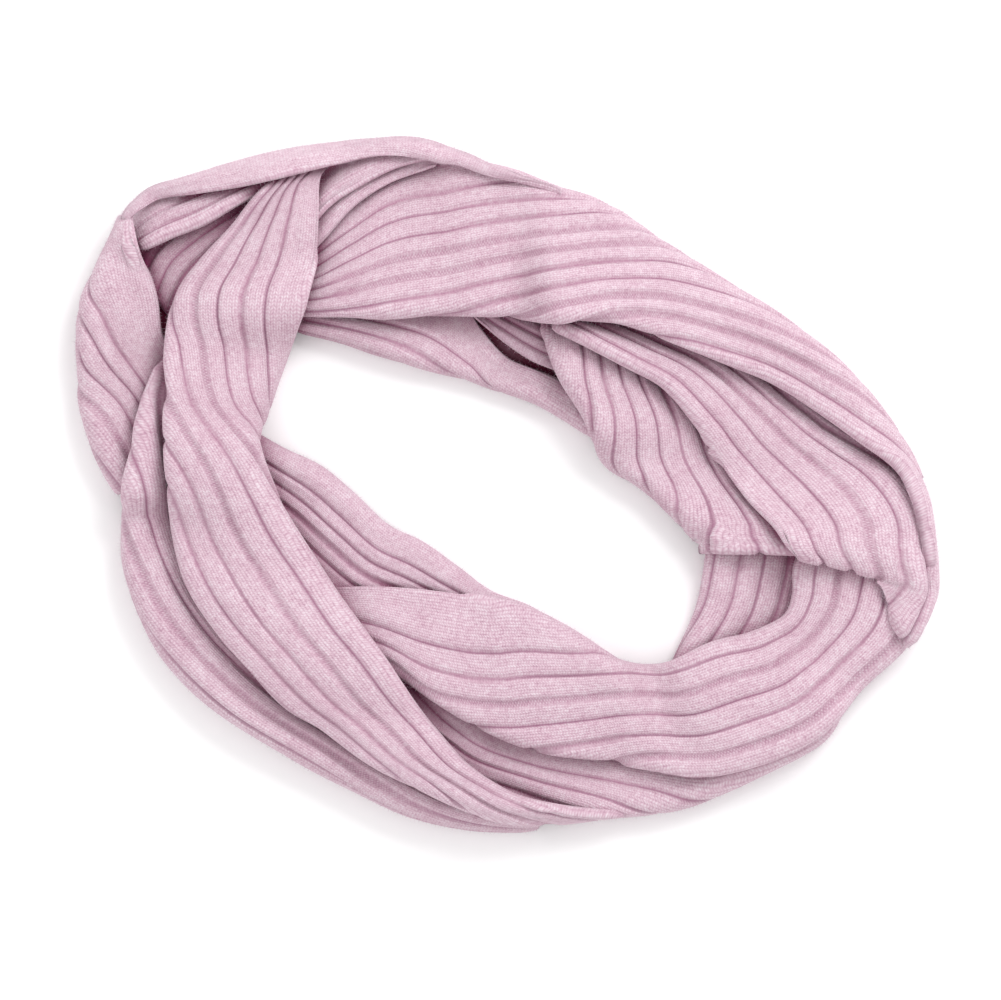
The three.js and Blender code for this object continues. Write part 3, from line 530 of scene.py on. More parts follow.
# %% The line of every section
SIDE_STEPS = 10
TOP_STEPS = 56
SMALLEST_TURN = 2.0  # a radius under this fades out to an open edge
WIDEST_TURN = 0.36  # of the span
WIDEST_TUCK = 0.45  # of the span
WIDEST_INSET = 0.2  # of the span
PAIR_MORE, PAIR_FADE = 3.0, 5.0  # how far the height of a doubled edge goes in
REST_FADE = 6.0  # the way from an edge over which the cloth comes to rest
EDGE_FREE = 0.6  # of a turn's radius, where that way starts
APART = 1.2  # least air between the upper side of a fold and the cloth tucked under it
SOFTEN = 3.0  # the height over which two ways that cloth can rest pass into each other


def sides_of(row, total, bed):
    edge1 = np.stack([row["x1"], row["y1"]], 1)
    edge2 = np.stack([row["x2"], row["y2"]], 1)
    across = edge2 - edge1
    span = np.linalg.norm(across, axis=1)
    across = across / span[:, None]
    sides = []
    for at, inward, radius, cloth in (
        (edge1, across, row["r1"], row["c1"]),
        (edge2, -across, row["r2"], total - row["c2"]),
    ):
        r = np.clip(radius, 0, WIDEST_TURN * span)
        turned = smooth_step(r, 0, SMALLEST_TURN)
        cloth = np.maximum(cloth, 0)
        quarter = r * math.pi / 2
        inset = turned * np.minimum(WALL + 0.6 * RIB, WIDEST_INSET * span)
        straight = np.maximum(0, np.minimum(RUN, WIDEST_TUCK * span - inset) - r)
        run = turned * np.minimum(quarter + straight, cloth * PITCH)
        middle = height_of(bed, at[:, 0], at[:, 1]) + GAP + turned * (WALL + RIB) + r + row["lift"]
        reach = inset + np.minimum(run, r + np.maximum(0, run - quarter)) + PAIR_MORE
        double = turned * np.where(run > 1, WALL + RIB + 1, 0)
        sides.append(
            dict(at=at, inward=inward, r=r, cloth=cloth, run=run, inset=inset)
            | dict(middle=middle, reach=reach, double=double)
        )
    return sides, span


def tucked(side, bed, upper_way, upper_z):
    # The cloth turned under at an edge, from its far end to the silhouette.
    way = side["run"][:, None] * np.linspace(1, 0, SIDE_STEPS + 1)[None, :-1]
    r = np.maximum(side["r"], 1e-3)[:, None]
    bend = np.minimum(way / r, math.pi / 2)
    straight = np.maximum(0, way - r * math.pi / 2)
    inward = side["inset"][:, None] + r * (1 - np.cos(bend)) + straight
    place = side["at"][:, None, :] + side["inward"][:, None, :] * inward[:, :, None]
    low = side["middle"][:, None] - r * np.sin(bend)
    clear = height_of(bed, place[..., 0], place[..., 1]) + GAP + WALL + RIB
    over = inward - side["inset"][:, None]
    above = np.stack([np.interp(over[k], upper_way[k], upper_z[k]) for k in range(len(way))])
    z = np.minimum(np.maximum(low, clear), above - np.minimum(APART, 2 * r * np.sin(bend)))
    # True rib width in the tuck, and what no one sees gathered at its end.
    counted = np.minimum(way / PITCH, side["cloth"][:, None])
    counted[:, 0] = side["cloth"]
    return place[..., 0], place[..., 1], z, counted


def sections_of(stretch, shares, beds):
    bed, soft = beds
    row = rows_at(stretch["rows"], shares)
    total = stretch["band1"] + stretch["ribs"] + stretch["band2"]
    (one, two), span = sides_of(row, total, bed)
    inset1, inset2 = one["inset"][:, None], two["inset"][:, None]
    width = span[:, None] - inset1 - inset2
    q = (0.5 - 0.5 * np.cos(math.pi * np.linspace(0, 1, TOP_STEPS + 1)))[None, :]
    w = q * width
    x = one["at"][:, :1] + one["inward"][:, :1] * (inset1 + w)
    y = one["at"][:, 1:] + one["inward"][:, 1:] * (inset1 + w)

    def shoulder(side, d):
        r = side["r"][:, None]
        return np.where(d < r, np.sqrt(np.maximum(0, r * r - (r - d) ** 2)), r)

    def pair(side, d):
        reach = side["reach"][:, None]
        return side["double"][:, None] * (1 - smooth_step(d, reach, reach + PAIR_FADE))

    crown = row["rise"][:, None] * np.sin(math.pi * np.clip(q, 0, 1)) ** 0.8
    line = mix(one["middle"][:, None], two["middle"][:, None], q) + crown
    line = line + mix(shoulder(one, w), shoulder(two, width - w), smooth_step(q, 0, 1))
    from_edge = np.minimum(w - EDGE_FREE * one["r"][:, None], width - w - EDGE_FREE * two["r"][:, None])
    inside = smooth_step(from_edge, 0, REST_FADE)
    rest = height_of(bed, x, y) + GAP + row["lift"][:, None]
    firm = height_of(soft, x, y) + GAP + np.minimum(row["lift"], 0)[:, None]
    least = mix(firm, rest, inside)
    least = least + np.maximum(pair(one, w), pair(two, width - w)) * np.minimum(1, 3 * inside)
    z = 0.5 * (line + least + np.sqrt((line - least) ** 2 + SOFTEN**2))
    step = np.sqrt(np.diff(x) ** 2 + np.diff(y) ** 2 + np.diff(z) ** 2)
    way = np.concatenate([np.zeros((len(shares), 1)), np.cumsum(step, axis=1)], axis=1)
    way = way / way[:, -1:]
    way = way + row["bias"][:, None] * way * (1 - way)
    c = mix(one["cloth"][:, None], total - two["cloth"][:, None], way)
    x1, y1, z1, under1 = tucked(one, bed, w, z)
    x2, y2, z2, under2 = tucked(two, bed, (width - w)[:, ::-1], z[:, ::-1])
    open1, open2 = one["run"][:, None] < 0.2, two["run"][:, None] < 0.2
    x1, y1, z1 = [np.where(open1, up[:, :1], low) for up, low in ((x, x1), (y, y1), (z, z1))]
    x2, y2, z2 = [np.where(open2, up[:, -1:], low) for up, low in ((x, x2), (y, y2), (z, z2))]
    c1 = one["cloth"][:, None] - under1
    c2 = total - two["cloth"][:, None] + under2
    flip = lambda part: part[:, ::-1]
    join = lambda a, b, e: np.concatenate([a, b, flip(e)], axis=1)
    return join(x1, x, x2), join(y1, y, y2), join(z1, z, z2), join(c1, c, c2)


def grid_of(stretch, shares, counts, beds):
    # The points of each section by rib count, and the direction across the cloth at each of them.
    x, y, z, c = sections_of(stretch, shares, beds)
    line = np.stack([x, y, z], 2)
    across = np.gradient(line, axis=1)
    length = np.linalg.norm(across, axis=2, keepdims=True)
    middle = line.shape[1] // 2
    for k in range(middle - 1, -1, -1):
        across[:, k] = np.where(length[:, k] > 1e-4, across[:, k], across[:, k + 1])
    for k in range(middle + 1, line.shape[1]):
        across[:, k] = np.where(length[:, k] > 1e-4, across[:, k], across[:, k - 1])
    across /= np.maximum(np.linalg.norm(across, axis=2, keepdims=True), 1e-9)
    c = c + 1e-6 * np.arange(c.shape[1])[None, :]
    at_counts = lambda part: np.stack(
        [
            np.stack([np.interp(counts, c[i], part[i, :, axis]) for i in range(len(shares))])
            for axis in range(3)
        ],
        axis=2,
    )
    return at_counts(line), at_counts(across)


def length_of(rows):
    first = np.hypot(np.diff(rows["x1"]), np.diff(rows["y1"])).sum()
    second = np.hypot(np.diff(rows["x2"]), np.diff(rows["y2"])).sum()
    return max(first, second)


# %% [markdown]
# ## The ribs
# Ribs are rows of knit stitches that stand out between rows of purl stitches, which sink. Where the
# cloth is slack a channel is a narrow dark crease. Where it is pulled the channel opens into a flat
# strip with a net texture. Each stretch lists its open channels. The relief is worked out from the
# distance to the nearest channel in real millimetres, so ribs crowd and spread as the cloth does.

# %% Rib relief
SLACK_HALF, OPEN_HALF = 0.25, 1.4  # half of a channel's flat floor
SLOPE = 1.15  # the way from the floor up to the crest
FLOOR_DEEP = 0.6  # how much thinner than the wall the knit of a channel is
CROWN = 0.3  # how much rounder the middle of a rib is
FULL_PITCH = 6.5  # ribs squeezed closer than this stand lower
SELVEDGE = 1.6  # the way over which an open edge thins out
OPEN_CHANNELS = {
    "left_stretch": (5, 3),
    "upper_stretch": (3, 4, 7, 8),
    "right_stretch": (2, 5),
    "lower_right_stretch": (2, 5),
    "outer_left_stretch": (2,),
    "outer_fold_stretch": (3, 5),
    "inner_lower_stretch": (2,),
}


def channels_of(stretch):
    first = 0 if stretch["band1"] > 0 else 1
    last = stretch["ribs"] - (0 if stretch["band2"] > 0 else 1)
    return stretch["band1"] + np.arange(first, last + 1) if stretch["ribs"] else np.zeros(0)


def counts_of(stretch):
    total = stretch["band1"] + stretch["ribs"] + stretch["band2"]
    steps = int(round(total * RIB_STEPS))
    edge = SELVEDGE / PITCH
    close = edge * np.array([0.12, 0.35, 0.65])
    counts = np.concatenate([np.linspace(0, total, steps + 1), close, total - close, channels_of(stretch)])
    return np.unique(np.round(counts, 5))


def relief_of(stretch, name, counts, pitch, pulled):
    # How high each point stands, from 0 in a channel to 1 on a crest, how open its channel is, and how much painted
    # channel shade it gets.
    channels = channels_of(stretch)
    if not len(channels):
        return np.ones_like(pitch), np.zeros_like(pitch), np.zeros_like(pitch)
    nearest = np.argmin(np.abs(counts[:, None] - channels[None, :]), axis=1)
    away = np.abs(counts - channels[nearest])[None, :] * pitch
    opened = np.isin(nearest, OPEN_CHANNELS.get(name, ())).astype(float)[None, :]
    opened = opened * smooth_step(pitch, 5.5, 8.5) + (0.1 + 0.6 * pulled) * smooth_step(pitch, 6.5, 10.5)
    opened = np.clip(opened, 0, 1)
    half = mix(SLACK_HALF, OPEN_HALF, opened)
    up = smooth_step(away, half, half + SLOPE)
    middle = np.clip(away / np.maximum(0.5 * pitch, 1e-3), 0, 1)
    crest = 1 - CROWN * (1 - middle) ** 2
    height = up * crest * np.clip(pitch / FULL_PITCH, 0, 1)
    net = opened * (1 - smooth_step(away, half, half + 0.6 * SLOPE))
    # Painted shade: how much a channel's colour is darkened, most at its floor.
    painted_channel_shade = (1 - smooth_step(away, 0.5 * half, half + 0.5 * SLOPE)) * np.clip(pitch / 4, 0, 1)
    return height, net, painted_channel_shade


print("open channels in", ", ".join(OPEN_CHANNELS))

# %% [markdown]
# ## A soft closed wall from two grids
# The inner side is the plain grid of sections. The outer side is the same grid moved out along its
# normals by the cloth and its ribs. It needs many more columns, because only this side shows. The two
# are joined by strips round the edge, which makes one closed shell with a real thickness.

# %% Grids, normals and walls
LEAST_HEIGHT = 0.1  # mm over the floor


def normals_of(grid, across):
    normal = np.cross(across, np.gradient(grid, axis=0))
    return normal / np.maximum(np.linalg.norm(normal, axis=2, keepdims=True), 1e-9)


def smoothed(grid, times):
    for _ in range(times):
        grid = grid.copy()
        grid[1:-1] = 0.25 * grid[:-2] + 0.5 * grid[1:-1] + 0.25 * grid[2:]
    return grid


def folded_end(grid, radius, steps=8, tail=3):
    # The cloth bends down and back under itself at the far end.
    ahead = grid[-1] - grid[-2]
    ahead[:, 2] = 0
    ahead /= np.maximum(np.linalg.norm(ahead, axis=1, keepdims=True), 1e-9)
    added = []
    for k in range(1, steps + 1):
        bend = math.pi * k / steps
        line = grid[-1] + ahead * radius * math.sin(bend)
        line[:, 2] -= radius * (1 - math.cos(bend))
        added.append(line)
    for k in range(1, tail + 1):
        added.append(added[steps - 1] - ahead * 1.2 * k)
    return np.concatenate([grid, np.array(added)])


def strip(near, far):
    faces = []
    i = j = 0
    while i + 1 < len(near) or j + 1 < len(far):
        behind = (i + 1) / len(near) <= (j + 1) / len(far)
        if j + 1 >= len(far) or (i + 1 < len(near) and behind):
            faces.append((near[i], far[j], near[i + 1]))
            i += 1
        else:
            faces.append((near[i], far[j], far[j + 1]))
            j += 1
    return faces


def wall_mesh(name, outer, inner, uv, marks):
    rows, columns = outer.shape[:2]
    inner_columns = inner.shape[1]
    points = np.concatenate([outer.reshape(-1, 3), inner.reshape(-1, 3)])
    points[:, 2] = np.maximum(points[:, 2], LEAST_HEIGHT)
    out = np.arange(rows * columns).reshape(rows, columns)
    inn = rows * columns + np.arange(rows * inner_columns).reshape(rows, inner_columns)

    def quads(ids, flip):
        corners = [ids[:-1, :-1], ids[:-1, 1:], ids[1:, 1:], ids[1:, :-1]]
        quad = np.stack([c.ravel() for c in corners], 1)
        return (quad[:, ::-1] if flip else quad).tolist()

    faces = quads(out, False) + quads(inn, True)
    faces += [(b, c, a) for a, b, c in strip(out[0], inn[0])]
    faces += strip(inn[-1], out[-1])
    faces += strip(inn[:, 0], out[:, 0])
    faces += strip(out[:, -1], inn[:, -1])
    mesh = bpy.data.meshes.new(name)
    mesh.from_pydata(((points - [*MIDDLE, 0]) * MM).tolist(), [], [tuple(int(v) for v in f) for f in faces])
    mesh.update()
    layer = mesh.uv_layers.new(name="along_ribs")
    index = np.zeros(len(mesh.loops), dtype=int)
    mesh.loops.foreach_get("vertex_index", index)
    layer.data.foreach_set("uv", (uv.reshape(-1, 2)[index] * MM).ravel())
    for mark, values in marks.items():
        attribute = mesh.attributes.new(mark, "FLOAT", "POINT")
        attribute.data.foreach_set("value", values.astype(np.float32))
    mesh.shade_smooth()
    thing = bpy.data.objects.new(name, mesh)
    bpy.context.scene.collection.objects.link(thing)
    return thing


# %% [markdown]
# ## The hidden layers
# Under the cloth that shows, two turns of the loop lie folded on each other. Nobody sees into them,
# so they are one rounded ring with a flat underside. Its two sides show the edges of three layers, as
# a folded scarf does.

# %% The ring of hidden layers
RING_ROUND = 2.4
RING_SECTIONS, RING_STEPS = 420, 36
LAYER = 3.0  # one folded layer
LAYER_DENT = 0.8  # how far the line between two layers sinks in


def ring_points(shares, q):
    row = rows_at(HIDDEN_LAYERS, shares, closed=True)
    x = mix(row["xi"][:, None], row["xo"][:, None], q)
    y = mix(row["yi"][:, None], row["yo"][:, None], q)
    z = row["height"][:, None] * np.sqrt(1 - np.abs(2 * q - 1) ** RING_ROUND)
    return np.stack([x, y, z], 2)


shares = np.arange(RING_SECTIONS) / RING_SECTIONS
q = (0.5 - 0.5 * np.cos(math.pi * np.arange(RING_STEPS + 1) / RING_STEPS))[None, :]
ring = ring_points(shares, q)
press(top, *np.moveaxis(ring_points(np.arange(600) / 600, np.linspace(0, 1, 61)[None, :]), 2, 0))
way = np.concatenate([[0], np.cumsum(np.linalg.norm(np.diff(ring.mean(1), axis=0), axis=1))])
ring_width = np.linalg.norm(np.diff(ring, axis=1), axis=2).sum(1).mean()
dent = LAYER_DENT * np.sin(math.pi * ring[..., 2] / LAYER) ** 2 * np.abs(2 * q - 1) ** 4
inward = ring.mean(1, keepdims=True) - ring
inward[..., 2] = 0
inward /= np.maximum(np.linalg.norm(inward, axis=2, keepdims=True), 1e-9)
ring = ring + inward * (LAYER_DENT - dent)[..., None] * (np.abs(2 * q - 1) ** 4)[..., None]
ring[..., 2] = np.where((q == 0) | (q == 1), 0, ring[..., 2])


def ring_mesh(name):
    rows, columns = ring.shape[:2]
    ids = np.arange(rows * columns).reshape(rows, columns)
    after = np.roll(ids, -1, axis=0)
    over = np.stack([ids[:, :-1], after[:, :-1], after[:, 1:], ids[:, 1:]], 2).reshape(-1, 4)
    under = np.stack([ids[:, 0], ids[:, -1], after[:, -1], after[:, 0]], 1)
    mesh = bpy.data.meshes.new(name)
    mesh.from_pydata(
        ((ring.reshape(-1, 3) - [*MIDDLE, 0]) * MM).tolist(), [], over.tolist() + under.tolist()
    )
    mesh.update()
    u = np.repeat(way, columns)
    v = np.tile(np.linspace(0, ring_width, columns), rows)
    layer = mesh.uv_layers.new(name="along_ribs")
    index = np.zeros(len(mesh.loops), dtype=int)
    mesh.loops.foreach_get("vertex_index", index)
    layer.data.foreach_set("uv", (np.stack([u, v], 1)[index] * MM).ravel())
    for mark in ("painted_channel_shade", "net", "painted_shade"):
        mesh.attributes.new(mark, "FLOAT", "POINT")
    mesh.shade_smooth()
    thing = bpy.data.objects.new(name, mesh)
    bpy.context.scene.collection.objects.link(thing)
    return thing


hidden = ring_mesh("hidden_layers_knit")
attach(hidden, "root")
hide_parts("hidden_layers")

# %% [markdown]
# ## The stretches that show
# The stretches are laid down in order, lowest first. Each follows the height map, gets its own gentle
# unevenness, and is then pressed into the map for the next. The unevenness is slow along a rib, as in
# a real knit, where a rib rises and sinks over a few centimetres. Random numbers are seeded.

# %% Lay the stretches
UNEVEN = 0.7  # mm that the cloth rises and sinks
RIB_UNEVEN = 0.22  # share by which ribs differ in height
END_FADE = 12.0  # mm over which an open end thins out
THIN = 0.25  # what is left of the wall at an open edge
SETTLE = 10  # passes that round off dents along a rib


def slow_noise(shape_rows, shape_columns, length_mm, steps_mm, across):
    coarse_rows = max(4, int(shape_rows * steps_mm / length_mm) + 3)
    coarse_columns = max(4, int(across) + 3)
    coarse = rng.standard_normal((coarse_rows, coarse_columns))
    u = np.linspace(0, coarse_rows - 1.001, shape_rows)
    v = np.linspace(0, coarse_columns - 1.001, shape_columns)
    i, j = u.astype(int), v.astype(int)
    s, t = smooth_step(u - i, 0, 1)[:, None], smooth_step(v - j, 0, 1)[None, :]
    near = mix(coarse[i][:, j], coarse[i][:, j + 1], t)
    far = mix(coarse[i + 1][:, j], coarse[i + 1][:, j + 1], t)
    return mix(near, far, s)


def ends_thin(rows, step, folded):
    way = np.arange(rows) * step
    start = np.clip(way / END_FADE, 0, 1)
    end = np.ones(rows) if folded else np.clip(way[::-1] / END_FADE, 0, 1)
    thin = np.minimum(start, end)
    return mix(THIN, 1, np.sqrt(1 - (1 - thin) ** 2))


pieces = {}
for name, stretch in STRETCHES.items():
    length = length_of(stretch["rows"])
    rows = int(math.ceil(length / ROW_STEP)) + 1
    shares = np.linspace(0, 1, rows)
    total = stretch["band1"] + stretch["ribs"] + stretch["band2"]
    counts = counts_of(stretch)
    inner_counts = np.linspace(0, total, int(total * 3) + 2)
    beds = make_beds(top)
    base, across = grid_of(stretch, shares, counts, beds)
    inner, _ = grid_of(stretch, shares, inner_counts, beds)
    press(top, base[..., 0], base[..., 1], base[..., 2] + WALL + RIB)
    lift = UNEVEN * slow_noise(rows, len(counts), 26.0, ROW_STEP, total)
    lift = np.maximum(lift, -0.4 * UNEVEN)
    base[..., 2] += lift
    inner[..., 2] += np.stack([np.interp(inner_counts, counts, line) for line in lift])
    base[..., 2] = smoothed(base[..., 2], SETTLE)
    inner[..., 2] = smoothed(inner[..., 2], SETTLE)
    fold = stretch["end_fold"]
    if fold:
        base, inner = folded_end(base, fold), folded_end(inner, fold)
        across = np.concatenate([across, np.repeat(across[-1:], len(base) - len(across), axis=0)])
    count_rows = len(base)
    middle = count_rows // 2
    normals = normals_of(base, across)
    facing = normals[middle, len(counts) // 2, 2]
    step = np.linalg.norm(np.diff(base, axis=1), axis=2)
    pitch = step / np.diff(counts)[None, :]
    pitch = np.concatenate([pitch[:, :1], 0.5 * (pitch[:, 1:] + pitch[:, :-1]), pitch[:, -1:]], axis=1)
    pitch = smoothed(pitch, 6)
    pulled = smooth_step(slow_noise(count_rows, len(counts), 60.0, ROW_STEP, total), -0.4, 1.2)
    height, net, painted_channel_shade = relief_of(stretch, name, counts, pitch, pulled)
    height = height * (1 + RIB_UNEVEN * slow_noise(count_rows, len(counts), 40.0, ROW_STEP, total))
    to_edge = np.minimum(counts, total - counts)[None, :] * np.maximum(pitch, 1.0)
    edge = mix(THIN, 1, np.sqrt(1 - (1 - np.clip(to_edge / SELVEDGE, 0, 1)) ** 2))
    edge = edge * ends_thin(count_rows, ROW_STEP, bool(fold))[:, None]
    thick = (WALL - FLOOR_DEEP + (RIB + FLOOR_DEEP + 0.2) * np.clip(height, 0, 1.25)) * edge
    outer = base + normals * (thick * (1 if facing > 0 else -1))[..., None]
    along = np.linalg.norm(np.diff(base, axis=0), axis=2).mean(1)
    u = np.concatenate([[0], np.cumsum(along)])
    uv_outer = np.stack(np.broadcast_arrays(u[:, None], counts[None, :] * PITCH), 2)
    uv_inner = np.stack(np.broadcast_arrays(u[:, None], inner_counts[None, :] * PITCH), 2)
    uv = np.concatenate([uv_outer.reshape(-1, 2), uv_inner.reshape(-1, 2)])
    # Painted channel shade on the outer side. The inner side, the underside of the cloth, gets it in full.
    painted_channel_shading = np.concatenate([painted_channel_shade.ravel(), np.ones(inner.shape[0] * inner.shape[1])])
    netted = np.concatenate([net.ravel(), np.ones(inner.shape[0] * inner.shape[1])])
    if facing < 0:
        outer, inner = outer[::-1], inner[::-1]
        turn = lambda part, width: part.reshape(count_rows, width, -1)[::-1].reshape(count_rows * width, -1)
        split = count_rows * len(counts)
        widths = ((slice(0, split), len(counts)), (slice(split, None), len(inner_counts)))
        uv = np.concatenate([turn(uv[s], n) for s, n in widths])
        painted_channel_shading = np.concatenate([turn(painted_channel_shading[s], n) for s, n in widths]).ravel()
        netted = np.concatenate([turn(netted[s], n) for s, n in widths]).ravel()
    piece = wall_mesh(name + "_knit", outer, inner, uv, {"painted_channel_shade": painted_channel_shading, "net": netted})
    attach(piece, "root")
    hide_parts(name)
    pieces[name] = piece

# %% [markdown]
# ## How much sky each place hides, for painted crease shade
# Where two layers meet, light gets in only from a part of the sky, and what does get in has been
# through pink wool on its way, so creases look plum and not grey. The final height map tells for
# every point how much of the sky the cloth round it hides. The material paints a plum shade into the
# colour there: painted shade, on top of the real shading from the lamps. The outer sides of the pile
# face the room, so they get no painted shade and keep the colour of the yarn.

# %% Hidden sky
DIRECTIONS = 12
REACHES = (3.0, 6.0, 10.0, 16.0, 24.0)  # mm
FLOOR_HEIGHT = 1.0  # mm; a place lower than this is bare floor


def hidden_sky(x, y, z):
    open_sky, to_room = np.zeros_like(x), np.zeros_like(x)
    for turn_by in np.arange(DIRECTIONS) * 2 * math.pi / DIRECTIONS:
        slope = np.zeros_like(x)
        for reach in REACHES:
            side = height_of(top, x + reach * math.cos(turn_by), y + reach * math.sin(turn_by))
            slope = np.maximum(slope, (side - z - WALL) / reach)
        open_sky += 1 / (1 + slope**2)
        to_room += side < FLOOR_HEIGHT
    return (1 - open_sky / DIRECTIONS) * (1 - smooth_step(to_room / DIRECTIONS, 0.3, 0.5))


for piece in (hidden, *pieces.values()):
    mesh = piece.data
    place = np.zeros(3 * len(mesh.vertices))
    mesh.vertices.foreach_get("co", place)
    place = place.reshape(-1, 3) / MM + [*MIDDLE, 0]
    # The share of hidden sky sets how much painted plum crease shade the material mixes into the colour.
    painted_shade = hidden_sky(*place.T)
    attribute = mesh.attributes.get("painted_shade") or mesh.attributes.new("painted_shade", "FLOAT", "POINT")
    attribute.data.foreach_set("value", painted_shade.astype(np.float32))
print("deepest place hides", round(100 * float(painted_shade.max())), "% of the sky in the last piece")

# %% [markdown]
# ## Colours
# Screen colours are given as hex values, as a dye card would. Light adds up in linear values, so one
# function turns a hex colour into those.

# %% Colours
def linear(hex_colour):
    parts = [int(hex_colour[k : k + 2], 16) / 255 for k in (1, 3, 5)]
    return (*[c / 12.92 if c <= 0.04045 else ((c + 0.055) / 1.055) ** 2.4 for c in parts], 1.0)


def add(tree, kind, settings=None, **links):
    # A node with its settings, and its inputs by name or place: a link or a plain value.
    node = tree.nodes.new(kind)
    for key, value in (settings or {}).items():
        setattr(node, key, value)
    for key, value in links.items():
        socket = node.inputs[int(key[1:])] if key[0] == "i" and key[1:].isdigit() else node.inputs[key]
        if isinstance(value, bpy.types.NodeSocket):
            tree.links.new(value, socket)
        else:
            socket.default_value = value
    return node


# %% [markdown]
# ## The brushed knit
# The yarn is a fine brushed wool in heathered lilac pink: fibres of two shades are spun together, so
# close up no two stitches match. A knit stitch is a V of two leaning strands. A purl channel shows a
# net of small bars. The channels get painted shade: their colour is mixed towards a dark tone, most in
# a slack crease and on the underside, less in an open net. The pattern follows the piece's own
# UV map, with 2.3 mm for a column of stitches and 1.5 mm for a row, so it bends with each rib.

# %% The knit material
COLUMN_MM, ROW_MM = 2.3, 1.5


